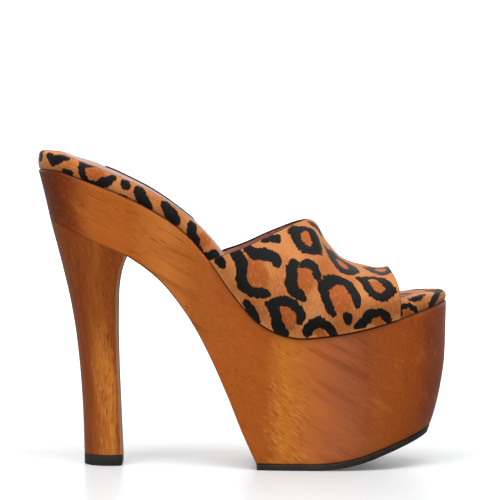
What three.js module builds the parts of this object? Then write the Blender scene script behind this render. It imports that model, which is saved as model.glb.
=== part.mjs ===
// High platform mule for the right foot, built as a shoemaker puts it together: a carved wooden sole
// with a separate wooden heel, a rubber outsole and heel lift, a padded footbed wrapped in printed
// calf hair, a leather sock on it, and one open-toed vamp that is closed underneath by the footbed.
// X runs from heel to toe, -Y is the outer side of the foot, Z is up, and all sizes are millimetres.
import * as THREE from 'three';
import { mergeVertices } from 'three/addons/utils/BufferGeometryUtils.js';

// Driving sizes of the wooden sole, heights measured from the floor
const LENGTH = 220; // back of the seat to the tip of the toe
const SEAT_HEIGHT = 159; // wood at the back of the seat
const BALL_HEIGHT = 70.4; // wood under the ball, its lowest point
const TOE_HEIGHT = 88.4; // wood at the tip of the toe
const SEAT_WIDTH = 54;
const WAIST_WIDTH = 46.5;
const BALL_WIDTH = 81.5;
const TOE_WIDTH = 68; // width that the toe is rounded off from
const HEEL_ROUND = 30; // length of the round at the back
const TOE_ROUND = 52; // length of the round at the toe
const TOE_FULLNESS = 2.8; // 2 is an ellipse, more is squarer
const WALL_DRAFT = THREE.MathUtils.degToRad(0.6); // lean of the sawn side walls
const TOE_ROLL = 8.8; // how far the toe wall runs back under the foot
const ROLL_LENGTH = 66; // stretch of the sole that the roll is spread over
const EDGE = 0.9; // broken edge of the wood

// Heel, arch and tread
const ARCH_HEIGHT = 113.4; // underside of the shank where the heel starts
const JOINT_HEIGHT = 132.1; // glue line of the heel at the back
const BREAST = 48.2; // front of the heel under the shank, from the back of the seat
const BLOCK_REAR = 117.2; // rear bottom edge of the platform
const HEEL_TIP_BACK = 24.6; // back of the heel at its lift
const HEEL_TIP_DEPTH = 20.7;
const HEEL_TIP_WIDTH = 29;
const BREAST_CORNER = 3; // rounded front corners of the heel
const LIFT_THICKNESS = 6;
const LIFT_EDGE = 0.5;
const OUTSOLE_THICKNESS = 3;
const FLAT_TREAD_END = 146; // where the tread starts to curve up
const SPRING_RADIUS = 100;
const SPRING_ANGLE = THREE.MathUtils.degToRad(20.5);
const OUTSOLE_ROLL = 1.1; // how far the tip of the outsole leans back

// Footbed, sock and vamp
const GAP = 0.3; // clearance between neighbouring pieces
const FOOTBED_THICKNESS = 9.6; // measured straight up at the seat
const FOOTBED_INSET = 0.4; // from the edge of the wood
const FOOTBED_EDGE = 2.8; // radius of its padded top edge
const FOOTBED_DISH_DEPTH = 0.9; // hollow across its top
const FOOTBED_DISH_WIDTH = 40; // a narrower top is hollowed less
const SOCK_THICKNESS = 0.5;
const SOCK_EDGE = 3.4; // from the edge of the wood to the edge of the sock
const SOCK_BACK = 12; // bare footbed behind the sock
const SOCK_ROUND = 22;
const SOCK_LENGTH = 168;
const UPPER_WALL = 1.5;
const UPPER_BULGE = 1.1; // leather standing out over the edge of the sole
const INSTEP_HEIGHT = 61.4; // top of the vamp above the wood, at the throat
const TOE_BOX_HEIGHT = 28; // the same at the toe opening
const THROAT_BACK = 92.7; // where the top line meets the sole
const THROAT_TOP = 145.4; // where the top line crosses the instep
const TOE_OPENING = 193.5; // front edge of the vamp at the sole
const TOE_SCOOP = 5.2; // how far that edge runs back over the toes
const RIDGE_SWING = 3; // instep ridge towards the inner side

// Plan of the wood: share of each named width that lies on the outer side, and the swing inwards
const PLAN = [
  { along: 0.0, width: SEAT_WIDTH, outer: 0.5, swing: 0 },
  { along: 0.14, width: SEAT_WIDTH, outer: 0.502, swing: 0 },
  { along: 0.35, width: WAIST_WIDTH, outer: 0.54, swing: 0 },
  { along: 0.45, width: (WAIST_WIDTH * 3 + BALL_WIDTH) / 4, outer: 0.56, swing: 0 },
  { along: 0.54, width: (WAIST_WIDTH * 2 + BALL_WIDTH * 3) / 5, outer: 0.54, swing: 0 },
  { along: 0.63, width: (WAIST_WIDTH + BALL_WIDTH * 6) / 7, outer: 0.51, swing: 0 },
  { along: 0.76, width: BALL_WIDTH, outer: 0.495, swing: 0.2 },
  { along: 0.88, width: (BALL_WIDTH * 2 + TOE_WIDTH) / 3, outer: 0.485, swing: 1.8 },
  { along: 1.0, width: TOE_WIDTH, outer: 0.48, swing: 4.5 },
];

// Side profile of the wood and footbed: shares of the seat's and the toe's rise above the ball,
// and of the footbed's thickness
const PROFILE = [
  { along: 0.0, seat: 1.0, toe: 0, pad: 1.05 },
  { along: 0.05, seat: 0.991, toe: 0, pad: 1.0 },
  { along: 0.1, seat: 0.951, toe: 0, pad: 0.94 },
  { along: 0.2, seat: 0.856, toe: 0, pad: 0.95 },
  { along: 0.28, seat: 0.758, toe: 0, pad: 0.97 },
  { along: 0.36, seat: 0.62, toe: 0, pad: 1.02 },
  { along: 0.42, seat: 0.456, toe: 0, pad: 1.2 },
  { along: 0.48, seat: 0.246, toe: 0, pad: 1.28 },
  { along: 0.54, seat: 0.088, toe: 0, pad: 1.2 },
  { along: 0.6, seat: 0.016, toe: 0, pad: 1.08 },
  { along: 0.64, seat: 0, toe: 0.0, pad: 1.05 },
  { along: 0.7, seat: 0, toe: 0.056, pad: 1.08 },
  { along: 0.8, seat: 0, toe: 0.278, pad: 1.1 },
  { along: 0.9, seat: 0, toe: 0.62, pad: 0.97 },
  { along: 1.0, seat: 0, toe: 1.0, pad: 0.56 },
];

// Underside of the shank and rear face of the block, from the breast to the block's rear edge
const UNDERSIDE = [
  { along: 0.0, height: 1.0 },
  { along: 0.13, height: 0.945 },
  { along: 0.26, height: 0.876 },
  { along: 0.39, height: 0.778 },
  { along: 0.52, height: 0.655 },
  { along: 0.645, height: 0.506 },
  { along: 0.77, height: 0.334 },
  { along: 0.895, height: 0.142 },
  { along: 1.0, height: 0.0 },
];

// The toe's wall from its top edge down to the outsole, as a share of the roll
const TOE_WALL = [
  { down: 0.0, back: 0.0 },
  { down: 0.42, back: 0.08 },
  { down: 0.54, back: 0.15 },
  { down: 0.67, back: 0.3 },
  { down: 0.81, back: 0.52 },
  { down: 0.95, back: 0.84 },
  { down: 1.0, back: 1.0 },
];

// The heel from its glue line to its lift: shares of the way that the back, the breast and the
// sides travel between the seat and the tip
const HEEL_TAPER = [
  { down: 0.0, back: 0.0, breast: 0.0, side: 0.0 },
  { down: 0.1, back: 0.18, breast: 1.3, side: 0.2 },
  { down: 0.2, back: 0.36, breast: 1.78, side: 0.37 },
  { down: 0.35, back: 0.6, breast: 1.84, side: 0.58 },
  { down: 0.5, back: 0.77, breast: 1.75, side: 0.74 },
  { down: 0.7, back: 0.91, breast: 1.48, side: 0.9 },
  { down: 0.85, back: 0.97, breast: 1.25, side: 0.97 },
  { down: 1.0, back: 1.0, breast: 1.0, side: 1.0 },
];

// Ridge line of the vamp above the wood, as shares of the two named heights, and how square its
// sections are. Rows behind the throat only shape the sides that the top line leaves standing.
const RIDGE = [
  { along: 0.42, instep: 0.72, toeBox: 0, fullness: 2.0 },
  { along: 0.545, instep: 1.05, toeBox: 0, fullness: 2.0 },
  { along: 0.6, instep: 1.055, toeBox: 0, fullness: 2.0 },
  { along: 0.637, instep: 1.02, toeBox: 0, fullness: 2.0 },
  { along: 0.661, instep: 1.0, toeBox: 0, fullness: 2.0 },
  { along: 0.673, instep: 0.98, toeBox: 0, fullness: 2.02 },
  { along: 0.684, instep: 0.93, toeBox: 0.02, fullness: 2.05 },
  { along: 0.7, instep: 0.74, toeBox: 0.19, fullness: 2.08 },
  { along: 0.72, instep: 0.52, toeBox: 0.44, fullness: 2.12 },
  { along: 0.739, instep: 0.36, toeBox: 0.61, fullness: 2.16 },
  { along: 0.77, instep: 0.17, toeBox: 0.86, fullness: 2.25 },
  { along: 0.8, instep: 0.07, toeBox: 0.97, fullness: 2.35 },
  { along: 0.85, instep: 0.0, toeBox: 0.985, fullness: 2.5 },
  { along: 0.9, instep: 0.0, toeBox: 0.83, fullness: 2.6 },
];

// Top line of the vamp in the side view, from the sole to the instep
const THROAT = [
  { along: -0.1, rise: -0.13 },
  { along: 0.0, rise: 0.0 },
  { along: 0.12, rise: 0.135 },
  { along: 0.34, rise: 0.33 },
  { along: 0.62, rise: 0.65 },
  { along: 0.8, rise: 0.84 },
  { along: 0.92, rise: 0.955 },
  { along: 1.0, rise: 1.0 },
  { along: 1.1, rise: 1.03 },
];

// Smooth curve through one column of a table, with no overshoot between its rows
function curve(rows, over, column) {
  const x = rows.map((row) => row[over]);
  const y = rows.map((row) => row[column]);
  const last = rows.length - 1;
  const slope = (i) => (y[i + 1] - y[i]) / (x[i + 1] - x[i]);
  const tangent = x.map((_, i) => {
    if (i === 0) return slope(0);
    if (i === last) return slope(last - 1);
    const before = slope(i - 1);
    const after = slope(i);
    return before * after <= 0 ? 0 : (2 * before * after) / (before + after);
  });
  return (value) => {
    if (value <= x[0]) return y[0];
    if (value >= x[last]) return y[last];
    const i = x.findIndex((_, n) => value < x[n + 1]);
    const span = x[i + 1] - x[i];
    const t = (value - x[i]) / span;
    const s = 1 - t;
    return y[i] * (1 + 2 * t) * s * s + y[i + 1] * (3 - 2 * t) * t * t
      + span * (tangent[i] * t * s * s - tangent[i + 1] * t * t * s);
  };
}

const mix = THREE.MathUtils.lerp;
const outlineWidth = curve(PLAN, 'along', 'width');
const outerShare = curve(PLAN, 'along', 'outer');
const swingAt = curve(PLAN, 'along', 'swing');
const seatShare = curve(PROFILE, 'along', 'seat');
const toeShare = curve(PROFILE, 'along', 'toe');
const padShare = curve(PROFILE, 'along', 'pad');
const undersideShare = curve(UNDERSIDE, 'along', 'height');
const toeWallBack = curve(TOE_WALL, 'down', 'back');
const heelBack = curve(HEEL_TAPER, 'down', 'back');
const heelBreast = curve(HEEL_TAPER, 'down', 'breast');
const heelSide = curve(HEEL_TAPER, 'down', 'side');
const instepShare = curve(RIDGE, 'along', 'instep');
const toeBoxShare = curve(RIDGE, 'along', 'toeBox');
const fullnessAt = curve(RIDGE, 'along', 'fullness');
const throatRise = curve(THROAT, 'along', 'rise');

// Plan of the wooden sole: side is -1 for the outer edge and 1 for the inner one
function edgeY(x, side) {
  const along = x / LENGTH;
  const heelRound = Math.sqrt(1 - Math.max(0, 1 - x / HEEL_ROUND) ** 2);
  const intoToe = THREE.MathUtils.clamp((x - (LENGTH - TOE_ROUND)) / TOE_ROUND, 0, 1);
  const toeRound = Math.sqrt(1 - intoToe ** TOE_FULLNESS);
  const share = side < 0 ? outerShare(along) : 1 - outerShare(along);
  return swingAt(along) + side * outlineWidth(along) * share * heelRound * toeRound;
}

// Heights of the wood, of the padded footbed on it, and of the tread under it
function woodTop(x) {
  const along = x / LENGTH;
  return BALL_HEIGHT + seatShare(along) * (SEAT_HEIGHT - BALL_HEIGHT)
    + toeShare(along) * (TOE_HEIGHT - BALL_HEIGHT);
}

function footbedRim(x) {
  return woodTop(x) + GAP + padShare(x / LENGTH) * FOOTBED_THICKNESS;
}

function footbedTop(x, y) {
  const inner = edgeY(x, 1);
  const outer = edgeY(x, -1);
  const flat = inner - outer - 2 * (FOOTBED_INSET + FOOTBED_EDGE);
  if (flat <= 0) return footbedRim(x);
  const across = (2 * y - inner - outer) / flat;
  const depth = FOOTBED_DISH_DEPTH * Math.min(1, flat / FOOTBED_DISH_WIDTH);
  return footbedRim(x) - depth * Math.max(0, 1 - across * across);
}

function treadHeight(x) {
  const run = x - FLAT_TREAD_END;
  const arcRun = SPRING_RADIUS * Math.sin(SPRING_ANGLE);
  if (run <= 0) return 0;
  if (run <= arcRun) return SPRING_RADIUS - Math.sqrt(SPRING_RADIUS ** 2 - run ** 2);
  return SPRING_RADIUS * (1 - Math.cos(SPRING_ANGLE)) + (run - arcRun) * Math.tan(SPRING_ANGLE);
}

function outsoleTop(x) {
  const run = THREE.MathUtils.clamp(x - FLAT_TREAD_END, 0, SPRING_RADIUS * Math.sin(SPRING_ANGLE));
  return treadHeight(x) + OUTSOLE_THICKNESS / Math.cos(Math.asin(run / SPRING_RADIUS));
}

// Glue line of the heel: straight in the side view, from the back of the seat to the breast
const SEAT_LEAN = (SEAT_HEIGHT - JOINT_HEIGHT) * 0.24;
const jointHeight = (x) => mix(JOINT_HEIGHT, ARCH_HEIGHT, (x - SEAT_LEAN) / (BREAST - SEAT_LEAN));

function woodBottom(x) {
  if (x <= BREAST) return jointHeight(x);
  if (x >= BLOCK_REAR) return outsoleTop(x) + GAP;
  const floor = OUTSOLE_THICKNESS + GAP;
  return floor + undersideShare((x - BREAST) / (BLOCK_REAR - BREAST)) * (ARCH_HEIGHT - floor);
}

// Stations along the shoe: close together in the round heel and toe, even between, and one on
// each corner of the side profile
function stations() {
  const list = [];
  const quarter = (steps, place) => {
    for (let i = 0; i < steps; i += 1) list.push(place(1 - Math.cos((i / steps) * (Math.PI / 2))));
  };
  const even = (from, to, steps) => {
    for (let i = 0; i < steps; i += 1) list.push(mix(from, to, i / steps));
  };
  quarter(6, (share) => share * HEEL_ROUND);
  even(HEEL_ROUND, BREAST, 3);
  even(BREAST, BLOCK_REAR, 12);
  even(BLOCK_REAR, LENGTH - TOE_ROUND, 8);
  const toe = [];
  for (let i = 9; i >= 0; i -= 1) {
    toe.push(LENGTH - TOE_ROUND * (1 - Math.cos((i / 9) * (Math.PI / 2))));
  }
  return [...list, ...toe];
}
const STATIONS = stations();

// A ring is the plan of a piece at one level: outer and inner edge points at each station
function planRing(list) {
  const edge = (side) => list.map((x) => new THREE.Vector3(x, edgeY(x, side), 0));
  return { outer: edge(-1), inner: edge(1) };
}

// The same ring moved in by a distance square to its own edge
function inset({ outer, inner }, distance) {
  const loop = [...outer, ...inner.slice().reverse()];
  const near = (a, b) => Math.hypot(a.x - b.x, a.y - b.y) < 1e-6;
  const neighbour = (index, step) => {
    let at = index;
    do at = (at + step + loop.length) % loop.length;
    while (near(loop[at], loop[index]) && at !== index);
    return loop[at];
  };
  const moved = loop.map((point, index) => {
    const before = neighbour(index, -1);
    const after = neighbour(index, 1);
    const length = Math.hypot(after.x - before.x, after.y - before.y);
    const shift = distance / length;
    return new THREE.Vector3(
      point.x - (after.y - before.y) * shift, point.y + (after.x - before.x) * shift, point.z);
  });
  return { outer: moved.slice(0, outer.length), inner: moved.slice(outer.length).reverse() };
}

function lift(ring, height) {
  const place = (point, i) => new THREE.Vector3(point.x, point.y, height(point, i));
  return { outer: ring.outer.map(place), inner: ring.inner.map(place) };
}

// A closed mesh from loose triangles
function closedGeometry(corners) {
  const loose = new THREE.BufferGeometry();
  loose.setAttribute('position', new THREE.Float32BufferAttribute(corners.flatMap((p) => p.toArray()), 3));
  const merged = mergeVertices(loose, 1e-4);
  const kept = [];
  const index = merged.index.array;
  for (let i = 0; i < index.length; i += 3) {
    const [a, b, c] = [index[i], index[i + 1], index[i + 2]];
    if (a !== b && b !== c && c !== a) kept.push(a, b, c);
  }
  merged.setIndex(kept);
  merged.computeVertexNormals();
  return merged;
}

// Solid from rings stacked from the bottom up. The cross lines of the lowest and the highest ring
// follow the two surfaces, so a cap may be dished.
const ACROSS = 4;
function stacked(rings, bottomSurface, topSurface) {
  const last = rings[0].outer.length - 1;
  const top = rings.length - 1;
  const corners = [];
  const quad = (a, b, c, d) => corners.push(a, b, c, a, c, d);
  const cross = (level, i, step) => {
    const point = rings[level].outer[i].clone().lerp(rings[level].inner[i], step / ACROSS);
    if (step > 0 && step < ACROSS) {
      if (level === 0 && bottomSurface) point.z = bottomSurface(point.x, point.y);
      if (level === top && topSurface) point.z = topSurface(point.x, point.y);
    }
    return point;
  };
  for (let level = 0; level < top; level += 1) {
    const low = rings[level];
    const high = rings[level + 1];
    for (let i = 0; i < last; i += 1) {
      quad(low.outer[i], low.outer[i + 1], high.outer[i + 1], high.outer[i]);
      quad(low.inner[i + 1], low.inner[i], high.inner[i], high.inner[i + 1]);
    }
    for (let step = 0; step < ACROSS; step += 1) {
      quad(cross(level, 0, step), cross(level + 1, 0, step),
        cross(level + 1, 0, step + 1), cross(level, 0, step + 1));
      quad(cross(level, last, step + 1), cross(level + 1, last, step + 1),
        cross(level + 1, last, step), cross(level, last, step));
    }
  }
  for (let i = 0; i < last; i += 1) {
    for (let step = 0; step < ACROSS; step += 1) {
      quad(cross(top, i, step), cross(top, i + 1, step),
        cross(top, i + 1, step + 1), cross(top, i, step + 1));
      quad(cross(0, i + 1, step), cross(0, i, step),
        cross(0, i, step + 1), cross(0, i + 1, step + 1));
    }
  }
  return closedGeometry(corners);
}

// Wall of the carved sole at a share of its depth: it leans in with the draft, leans forward at
// the seat to meet the heel, and rolls back under the toe
function woodRing(down, list = STATIONS, extraInset = 0) {
  const plan = planRing(list);
  const rollStart = LENGTH - ROLL_LENGTH;
  const shifted = (x) => {
    const seat = SEAT_LEAN * down * Math.max(0, 1 - x / BREAST);
    const toe = TOE_ROLL * toeWallBack(down) * Math.max(0, (x - rollStart) / ROLL_LENGTH) ** 2;
    return x + seat - toe;
  };
  const deep = (i) => {
    const topHeight = woodTop(list[i]);
    return topHeight + down * (woodBottom(shifted(list[i])) - topHeight);
  };
  const drafted = (edge, side) => edge.map((point, i) => {
    const middle = (plan.outer[i].y + plan.inner[i].y) / 2;
    const half = Math.abs(point.y - middle);
    const lean = Math.min((woodTop(list[i]) - deep(i)) * Math.tan(WALL_DRAFT), half);
    return new THREE.Vector3(shifted(list[i]), point.y - side * lean * (half / (half + 2)), deep(i));
  });
  const ring = { outer: drafted(plan.outer, -1), inner: drafted(plan.inner, 1) };
  return extraInset ? inset(ring, extraInset) : ring;
}

// Wooden sole: seat, shank and forepart block carved in one piece
function platformGeometry() {
  const topEdge = lift(inset(woodRing(0), EDGE), (p) => woodTop(p.x));
  const belowTop = lift(woodRing(0), (p, i) => woodTop(STATIONS[i]) - EDGE);
  const walls = [0.95, 0.85, 0.7, 0.5, 0.25].map((down) => woodRing(down));
  return stacked([woodRing(1), ...walls, belowTop, topEdge], null, (x) => woodTop(x));
}

// Ring of the heel at a share of its height below the glue line
const HEEL_STATIONS = STATIONS.filter((x) => x <= BREAST + 1e-6);
function heelRing(down) {
  const joint = woodRing(1, HEEL_STATIONS);
  const last = HEEL_STATIONS.length - 1;
  const tipFront = HEEL_TIP_BACK + HEEL_TIP_DEPTH;
  const back = mix(SEAT_LEAN, HEEL_TIP_BACK, heelBack(down));
  const front = mix(BREAST, tipFront, heelBreast(down));
  const halfTop = (joint.inner[last].y - joint.outer[last].y) / 2;
  const narrow = mix(1, HEEL_TIP_WIDTH / 2 / halfTop, heelSide(down));
  const corner = BREAST_CORNER * Math.min(1, down * 4);
  const place = (point) => {
    const share = (point.x - SEAT_LEAN) / (BREAST - SEAT_LEAN);
    const x = mix(back, front, share);
    const intoCorner = Math.max(0, x - (front - corner));
    const rounded = corner - Math.sqrt(Math.max(0, corner ** 2 - intoCorner ** 2));
    const y = point.y * narrow;
    const z = mix(point.z - GAP, LIFT_THICKNESS + GAP, down);
    return new THREE.Vector3(x, y - Math.sign(y) * rounded, z);
  };
  return { outer: joint.outer.map(place), inner: joint.inner.map(place) };
}

// Wooden heel block, glued under the seat
function heelGeometry() {
  const rings = HEEL_TAPER.map((row) => heelRing(row.down)).reverse();
  return stacked(rings, null, (x) => jointHeight(x) - GAP);
}

// Rubber lift under the heel
function liftGeometry() {
  const plan = heelRing(1);
  return stacked([
    lift(inset(plan, LIFT_EDGE), () => 0),
    lift(plan, () => LIFT_EDGE),
    lift(plan, () => LIFT_THICKNESS),
  ]);
}

// Rubber outsole under the block, following its toe spring
function outsoleGeometry() {
  const list = STATIONS.filter((x) => x >= BLOCK_REAR - 1e-6);
  const plan = woodRing(1, list);
  const spread = (point) => (point.x - BLOCK_REAR) / (LENGTH - BLOCK_REAR);
  const lower = {
    outer: plan.outer.map((p) => new THREE.Vector3(p.x - spread(p) * OUTSOLE_ROLL, p.y, 0)),
    inner: plan.inner.map((p) => new THREE.Vector3(p.x - spread(p) * OUTSOLE_ROLL, p.y, 0)),
  };
  return stacked([
    lift(lower, (p) => treadHeight(p.x)),
    lift(plan, (p) => outsoleTop(p.x)),
  ], (x) => treadHeight(x), (x) => outsoleTop(x));
}

// Padded footbed, wrapped at its edge, dished on top
function footbedGeometry() {
  const plan = inset(planRing(STATIONS), FOOTBED_INSET);
  const rim = FOOTBED_EDGE;
  const round = (turn) => lift(
    inset(plan, rim * (1 - Math.cos(turn))), (p) => footbedRim(p.x) - rim * (1 - Math.sin(turn)));
  return stacked([
    lift(inset(plan, EDGE), (p) => woodTop(p.x) + GAP),
    lift(plan, (p) => woodTop(p.x) + GAP + EDGE),
    round(0),
    round(Math.PI / 6),
    round(Math.PI / 3),
    round(Math.PI / 2),
  ], (x) => woodTop(x) + GAP, footbedTop);
}

// Leather sock glued on the footbed, from behind the heel to under the vamp
function sockGeometry() {
  const front = SOCK_BACK + SOCK_LENGTH;
  const inner = STATIONS.filter((x) => x > SOCK_BACK + SOCK_ROUND && x < front - GAP);
  const back = [0, 1, 2, 3, 4, 5].map((i) => SOCK_BACK + SOCK_ROUND * (1 - Math.cos((i / 5) * (Math.PI / 2))));
  const list = [...back, ...inner, front];
  const edge = (side) => list.map((x) => {
    const middle = (edgeY(x, -1) + edgeY(x, 1)) / 2;
    const half = Math.abs(edgeY(x, side) - middle) - SOCK_EDGE;
    const round = Math.sqrt(1 - Math.max(0, 1 - (x - SOCK_BACK) / SOCK_ROUND) ** 2);
    return new THREE.Vector3(x, middle + side * half * round, 0);
  });
  const plan = { outer: edge(-1), inner: edge(1) };
  const under = (x, y) => footbedTop(x, y) + GAP;
  const over = (x, y) => under(x, y) + SOCK_THICKNESS;
  return stacked([
    lift(plan, (p) => under(p.x, p.y)),
    lift(plan, (p) => over(p.x, p.y)),
  ], under, over);
}

// Outside of the vamp: across runs from -1 at the outer edge of the sole, over the ridge at 0, to
// 1 at the inner edge. Below the spring line it stands straight beside the footbed.
const SPRING_SHARE = 0.84;
function vampPoint(x, across) {
  const along = x / LENGTH;
  const side = across < 0 ? -1 : 1;
  const from = Math.abs(across);
  const foot = woodTop(x) + GAP;
  const spring = footbedRim(x) - FOOTBED_EDGE / 2;
  const ridge = woodTop(x) + instepShare(along) * INSTEP_HEIGHT + toeBoxShare(along) * TOE_BOX_HEIGHT;
  const edge = edgeY(x, side) + side * (UPPER_WALL + GAP - FOOTBED_INSET);
  if (from >= SPRING_SHARE) {
    const up = (1 - from) / (1 - SPRING_SHARE);
    const bulge = side * UPPER_BULGE * Math.sin(up * Math.PI / 2) ** 2;
    return new THREE.Vector3(x, edge + bulge, mix(foot, spring, up));
  }
  const turn = (1 - from / SPRING_SHARE) * (Math.PI / 2);
  const power = 2 / fullnessAt(along);
  const middle = (edgeY(x, -1) + edgeY(x, 1)) / 2 + RIDGE_SWING;
  return new THREE.Vector3(
    x,
    mix(middle, edge + side * UPPER_BULGE, Math.cos(turn) ** power),
    mix(spring, ridge, Math.sin(turn) ** power),
  );
}

// Where the top line leaves each strip of the vamp: the height of the vamp falls towards the toe
// and the top line rises, so one crossing is found by halving
function throatX(across) {
  const base = woodTop(THROAT_BACK) + GAP;
  const height = woodTop(THROAT_TOP) + INSTEP_HEIGHT - base;
  const topLine = (x) => base + height * throatRise((x - THROAT_BACK) / (THROAT_TOP - THROAT_BACK));
  let low = THROAT_BACK - (THROAT_TOP - THROAT_BACK) * 0.1;
  let high = THROAT_TOP + (THROAT_TOP - THROAT_BACK) * 0.1;
  for (let i = 0; i < 40; i += 1) {
    const middle = (low + high) / 2;
    if (vampPoint(middle, across).z > topLine(middle)) low = middle;
    else high = middle;
  }
  return (low + high) / 2;
}

// Front edge of the vamp: almost square to the sole at the sides, scooped back over the toes
function toeOpeningX(across) {
  const point = vampPoint(TOE_OPENING, across);
  const foot = woodTop(TOE_OPENING) + GAP;
  const share = (point.z - foot) / (vampPoint(TOE_OPENING, 0).z - foot);
  return TOE_OPENING - TOE_SCOOP * share ** 4;
}

// Vamp: one leather wall, open at the throat, at the toe and underneath
function vampGeometry() {
  const steps = 16;
  const lines = [];
  for (let i = 0; i <= 3; i += 1) lines.push(-1 + (i / 3) * (1 - SPRING_SHARE));
  for (let i = 1; i <= 18; i += 1) lines.push(mix(-SPRING_SHARE, SPRING_SHARE, i / 18));
  for (let i = 1; i <= 3; i += 1) lines.push(mix(SPRING_SHARE, 1, i / 3));
  const grid = lines.map((across) => {
    const from = throatX(across);
    const to = toeOpeningX(across);
    return Array.from({ length: steps + 1 }, (_, i) => {
      const x = mix(from, to, i / steps);
      const point = vampPoint(x, across);
      const sideways = vampPoint(x, Math.min(1, across + 0.01)).sub(vampPoint(x, Math.max(-1, across - 0.01)));
      const forward = vampPoint(x + 0.5, across).sub(vampPoint(x - 0.5, across));
      const out = forward.cross(sideways).normalize();
      return { outside: point, inside: point.clone().addScaledVector(out, -UPPER_WALL) };
    });
  });
  const corners = [];
  const quad = (a, b, c, d) => corners.push(a, b, c, a, c, d);
  const last = lines.length - 1;
  for (let j = 0; j < last; j += 1) {
    for (let i = 0; i < steps; i += 1) {
      const [a, b, c, d] = [grid[j][i], grid[j][i + 1], grid[j + 1][i + 1], grid[j + 1][i]];
      quad(a.outside, b.outside, c.outside, d.outside);
      quad(a.inside, d.inside, c.inside, b.inside);
    }
    quad(grid[j][0].inside, grid[j][0].outside, grid[j + 1][0].outside, grid[j + 1][0].inside);
    quad(grid[j][steps].outside, grid[j][steps].inside, grid[j + 1][steps].inside, grid[j + 1][steps].outside);
  }
  for (let i = 0; i < steps; i += 1) {
    quad(grid[0][i].inside, grid[0][i + 1].inside, grid[0][i + 1].outside, grid[0][i].outside);
    quad(grid[last][i].outside, grid[last][i + 1].outside, grid[last][i + 1].inside, grid[last][i].inside);
  }
  return closedGeometry(corners);
}

// Materials, in the colours of the finished shoe
const wood = { color: 0xa8591f, roughness: 0.32, metalness: 0 };
const rubber = { color: 0x24211f, roughness: 0.7, metalness: 0 };
const calfHair = { color: 0xd08a4e, roughness: 0.75, metalness: 0 };
const sockLeather = { color: 0xc29a94, roughness: 0.55, metalness: 0 };

const shoe = new THREE.Group();
shoe.name = 'platform_mule_right';
function addPiece(name, geometry, finish) {
  const mesh = new THREE.Mesh(geometry, new THREE.MeshStandardMaterial(finish));
  mesh.name = name;
  shoe.add(mesh);
}
addPiece('wood_platform', platformGeometry(), wood);
addPiece('wood_heel', heelGeometry(), wood);
addPiece('heel_lift', liftGeometry(), rubber);
addPiece('outsole', outsoleGeometry(), rubber);
addPiece('footbed', footbedGeometry(), calfHair);
addPiece('sock_lining', sockGeometry(), sockLeather);
addPiece('upper', vampGeometry(), calfHair);

// The shoe stands on the floor with the origin under the middle of its bounding box
const box = new THREE.Box3().setFromObject(shoe);
shoe.position.set(-(box.min.x + box.max.x) / 2, -(box.min.y + box.max.y) / 2, -box.min.z);

export default shoe;
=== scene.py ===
import math

import bmesh
import bpy
import numpy as np
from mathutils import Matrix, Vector


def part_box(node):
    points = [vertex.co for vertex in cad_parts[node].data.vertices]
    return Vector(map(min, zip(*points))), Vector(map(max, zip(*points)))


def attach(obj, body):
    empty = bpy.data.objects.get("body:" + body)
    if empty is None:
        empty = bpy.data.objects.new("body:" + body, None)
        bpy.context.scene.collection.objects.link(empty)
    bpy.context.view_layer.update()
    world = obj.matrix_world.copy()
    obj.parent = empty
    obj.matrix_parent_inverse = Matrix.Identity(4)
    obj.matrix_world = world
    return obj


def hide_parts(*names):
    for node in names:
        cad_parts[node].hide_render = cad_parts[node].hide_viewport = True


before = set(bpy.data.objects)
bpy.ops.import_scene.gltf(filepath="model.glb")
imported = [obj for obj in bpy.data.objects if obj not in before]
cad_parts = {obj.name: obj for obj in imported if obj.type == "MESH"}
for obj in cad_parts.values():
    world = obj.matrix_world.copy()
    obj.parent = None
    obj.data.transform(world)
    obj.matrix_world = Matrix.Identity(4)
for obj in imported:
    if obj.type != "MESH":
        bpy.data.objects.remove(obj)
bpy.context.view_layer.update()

# Wooden sole
# One carved piece of light hardwood: the seat, the shank and the tall forepart block. It is sanded
# round its edges and finished in a warm brown satin lacquer.
MM = 0.001
LENGTH = 220
SEAT_HEIGHT, BALL_HEIGHT, TOE_HEIGHT = 159, 70.4, 88.4
SEAT_WIDTH, WAIST_WIDTH, BALL_WIDTH, TOE_WIDTH = 54, 46.5, 81.5, 68
HEEL_ROUND, TOE_ROUND, TOE_FULLNESS = 30, 52, 2.8
WALL_DRAFT = math.radians(0.6)
TOE_ROLL, ROLL_LENGTH = 8.8, 66
ARCH_HEIGHT, JOINT_HEIGHT, BREAST, BLOCK_REAR = 113.4, 132.1, 48.2, 117.2
SEAT_LEAN = (SEAT_HEIGHT - JOINT_HEIGHT) * 0.24
OUTSOLE_THICKNESS, FLAT_TREAD_END = 3, 146
SPRING_RADIUS, SPRING_ANGLE = 100, math.radians(20.5)
HAIRLINE = 0.05  # clearance of pieces that are glued together
WOOD_EDGE = 1.1
# Painted shade: dark lines are painted along the wood's top edge under the cover, along its underside edges
# and along the seat's joint with the heel.
EDGE_SHADE, EDGE_SHADE_FADE = 0.9, 0.5  # painted shade: a dark line painted along the wood's edges
JOINT_SHADE, JOINT_SHADE_FADE = 0.3, 0.2
BLUNT_END = 1  # a solid's end that is wider than this is a wall between its caps

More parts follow.
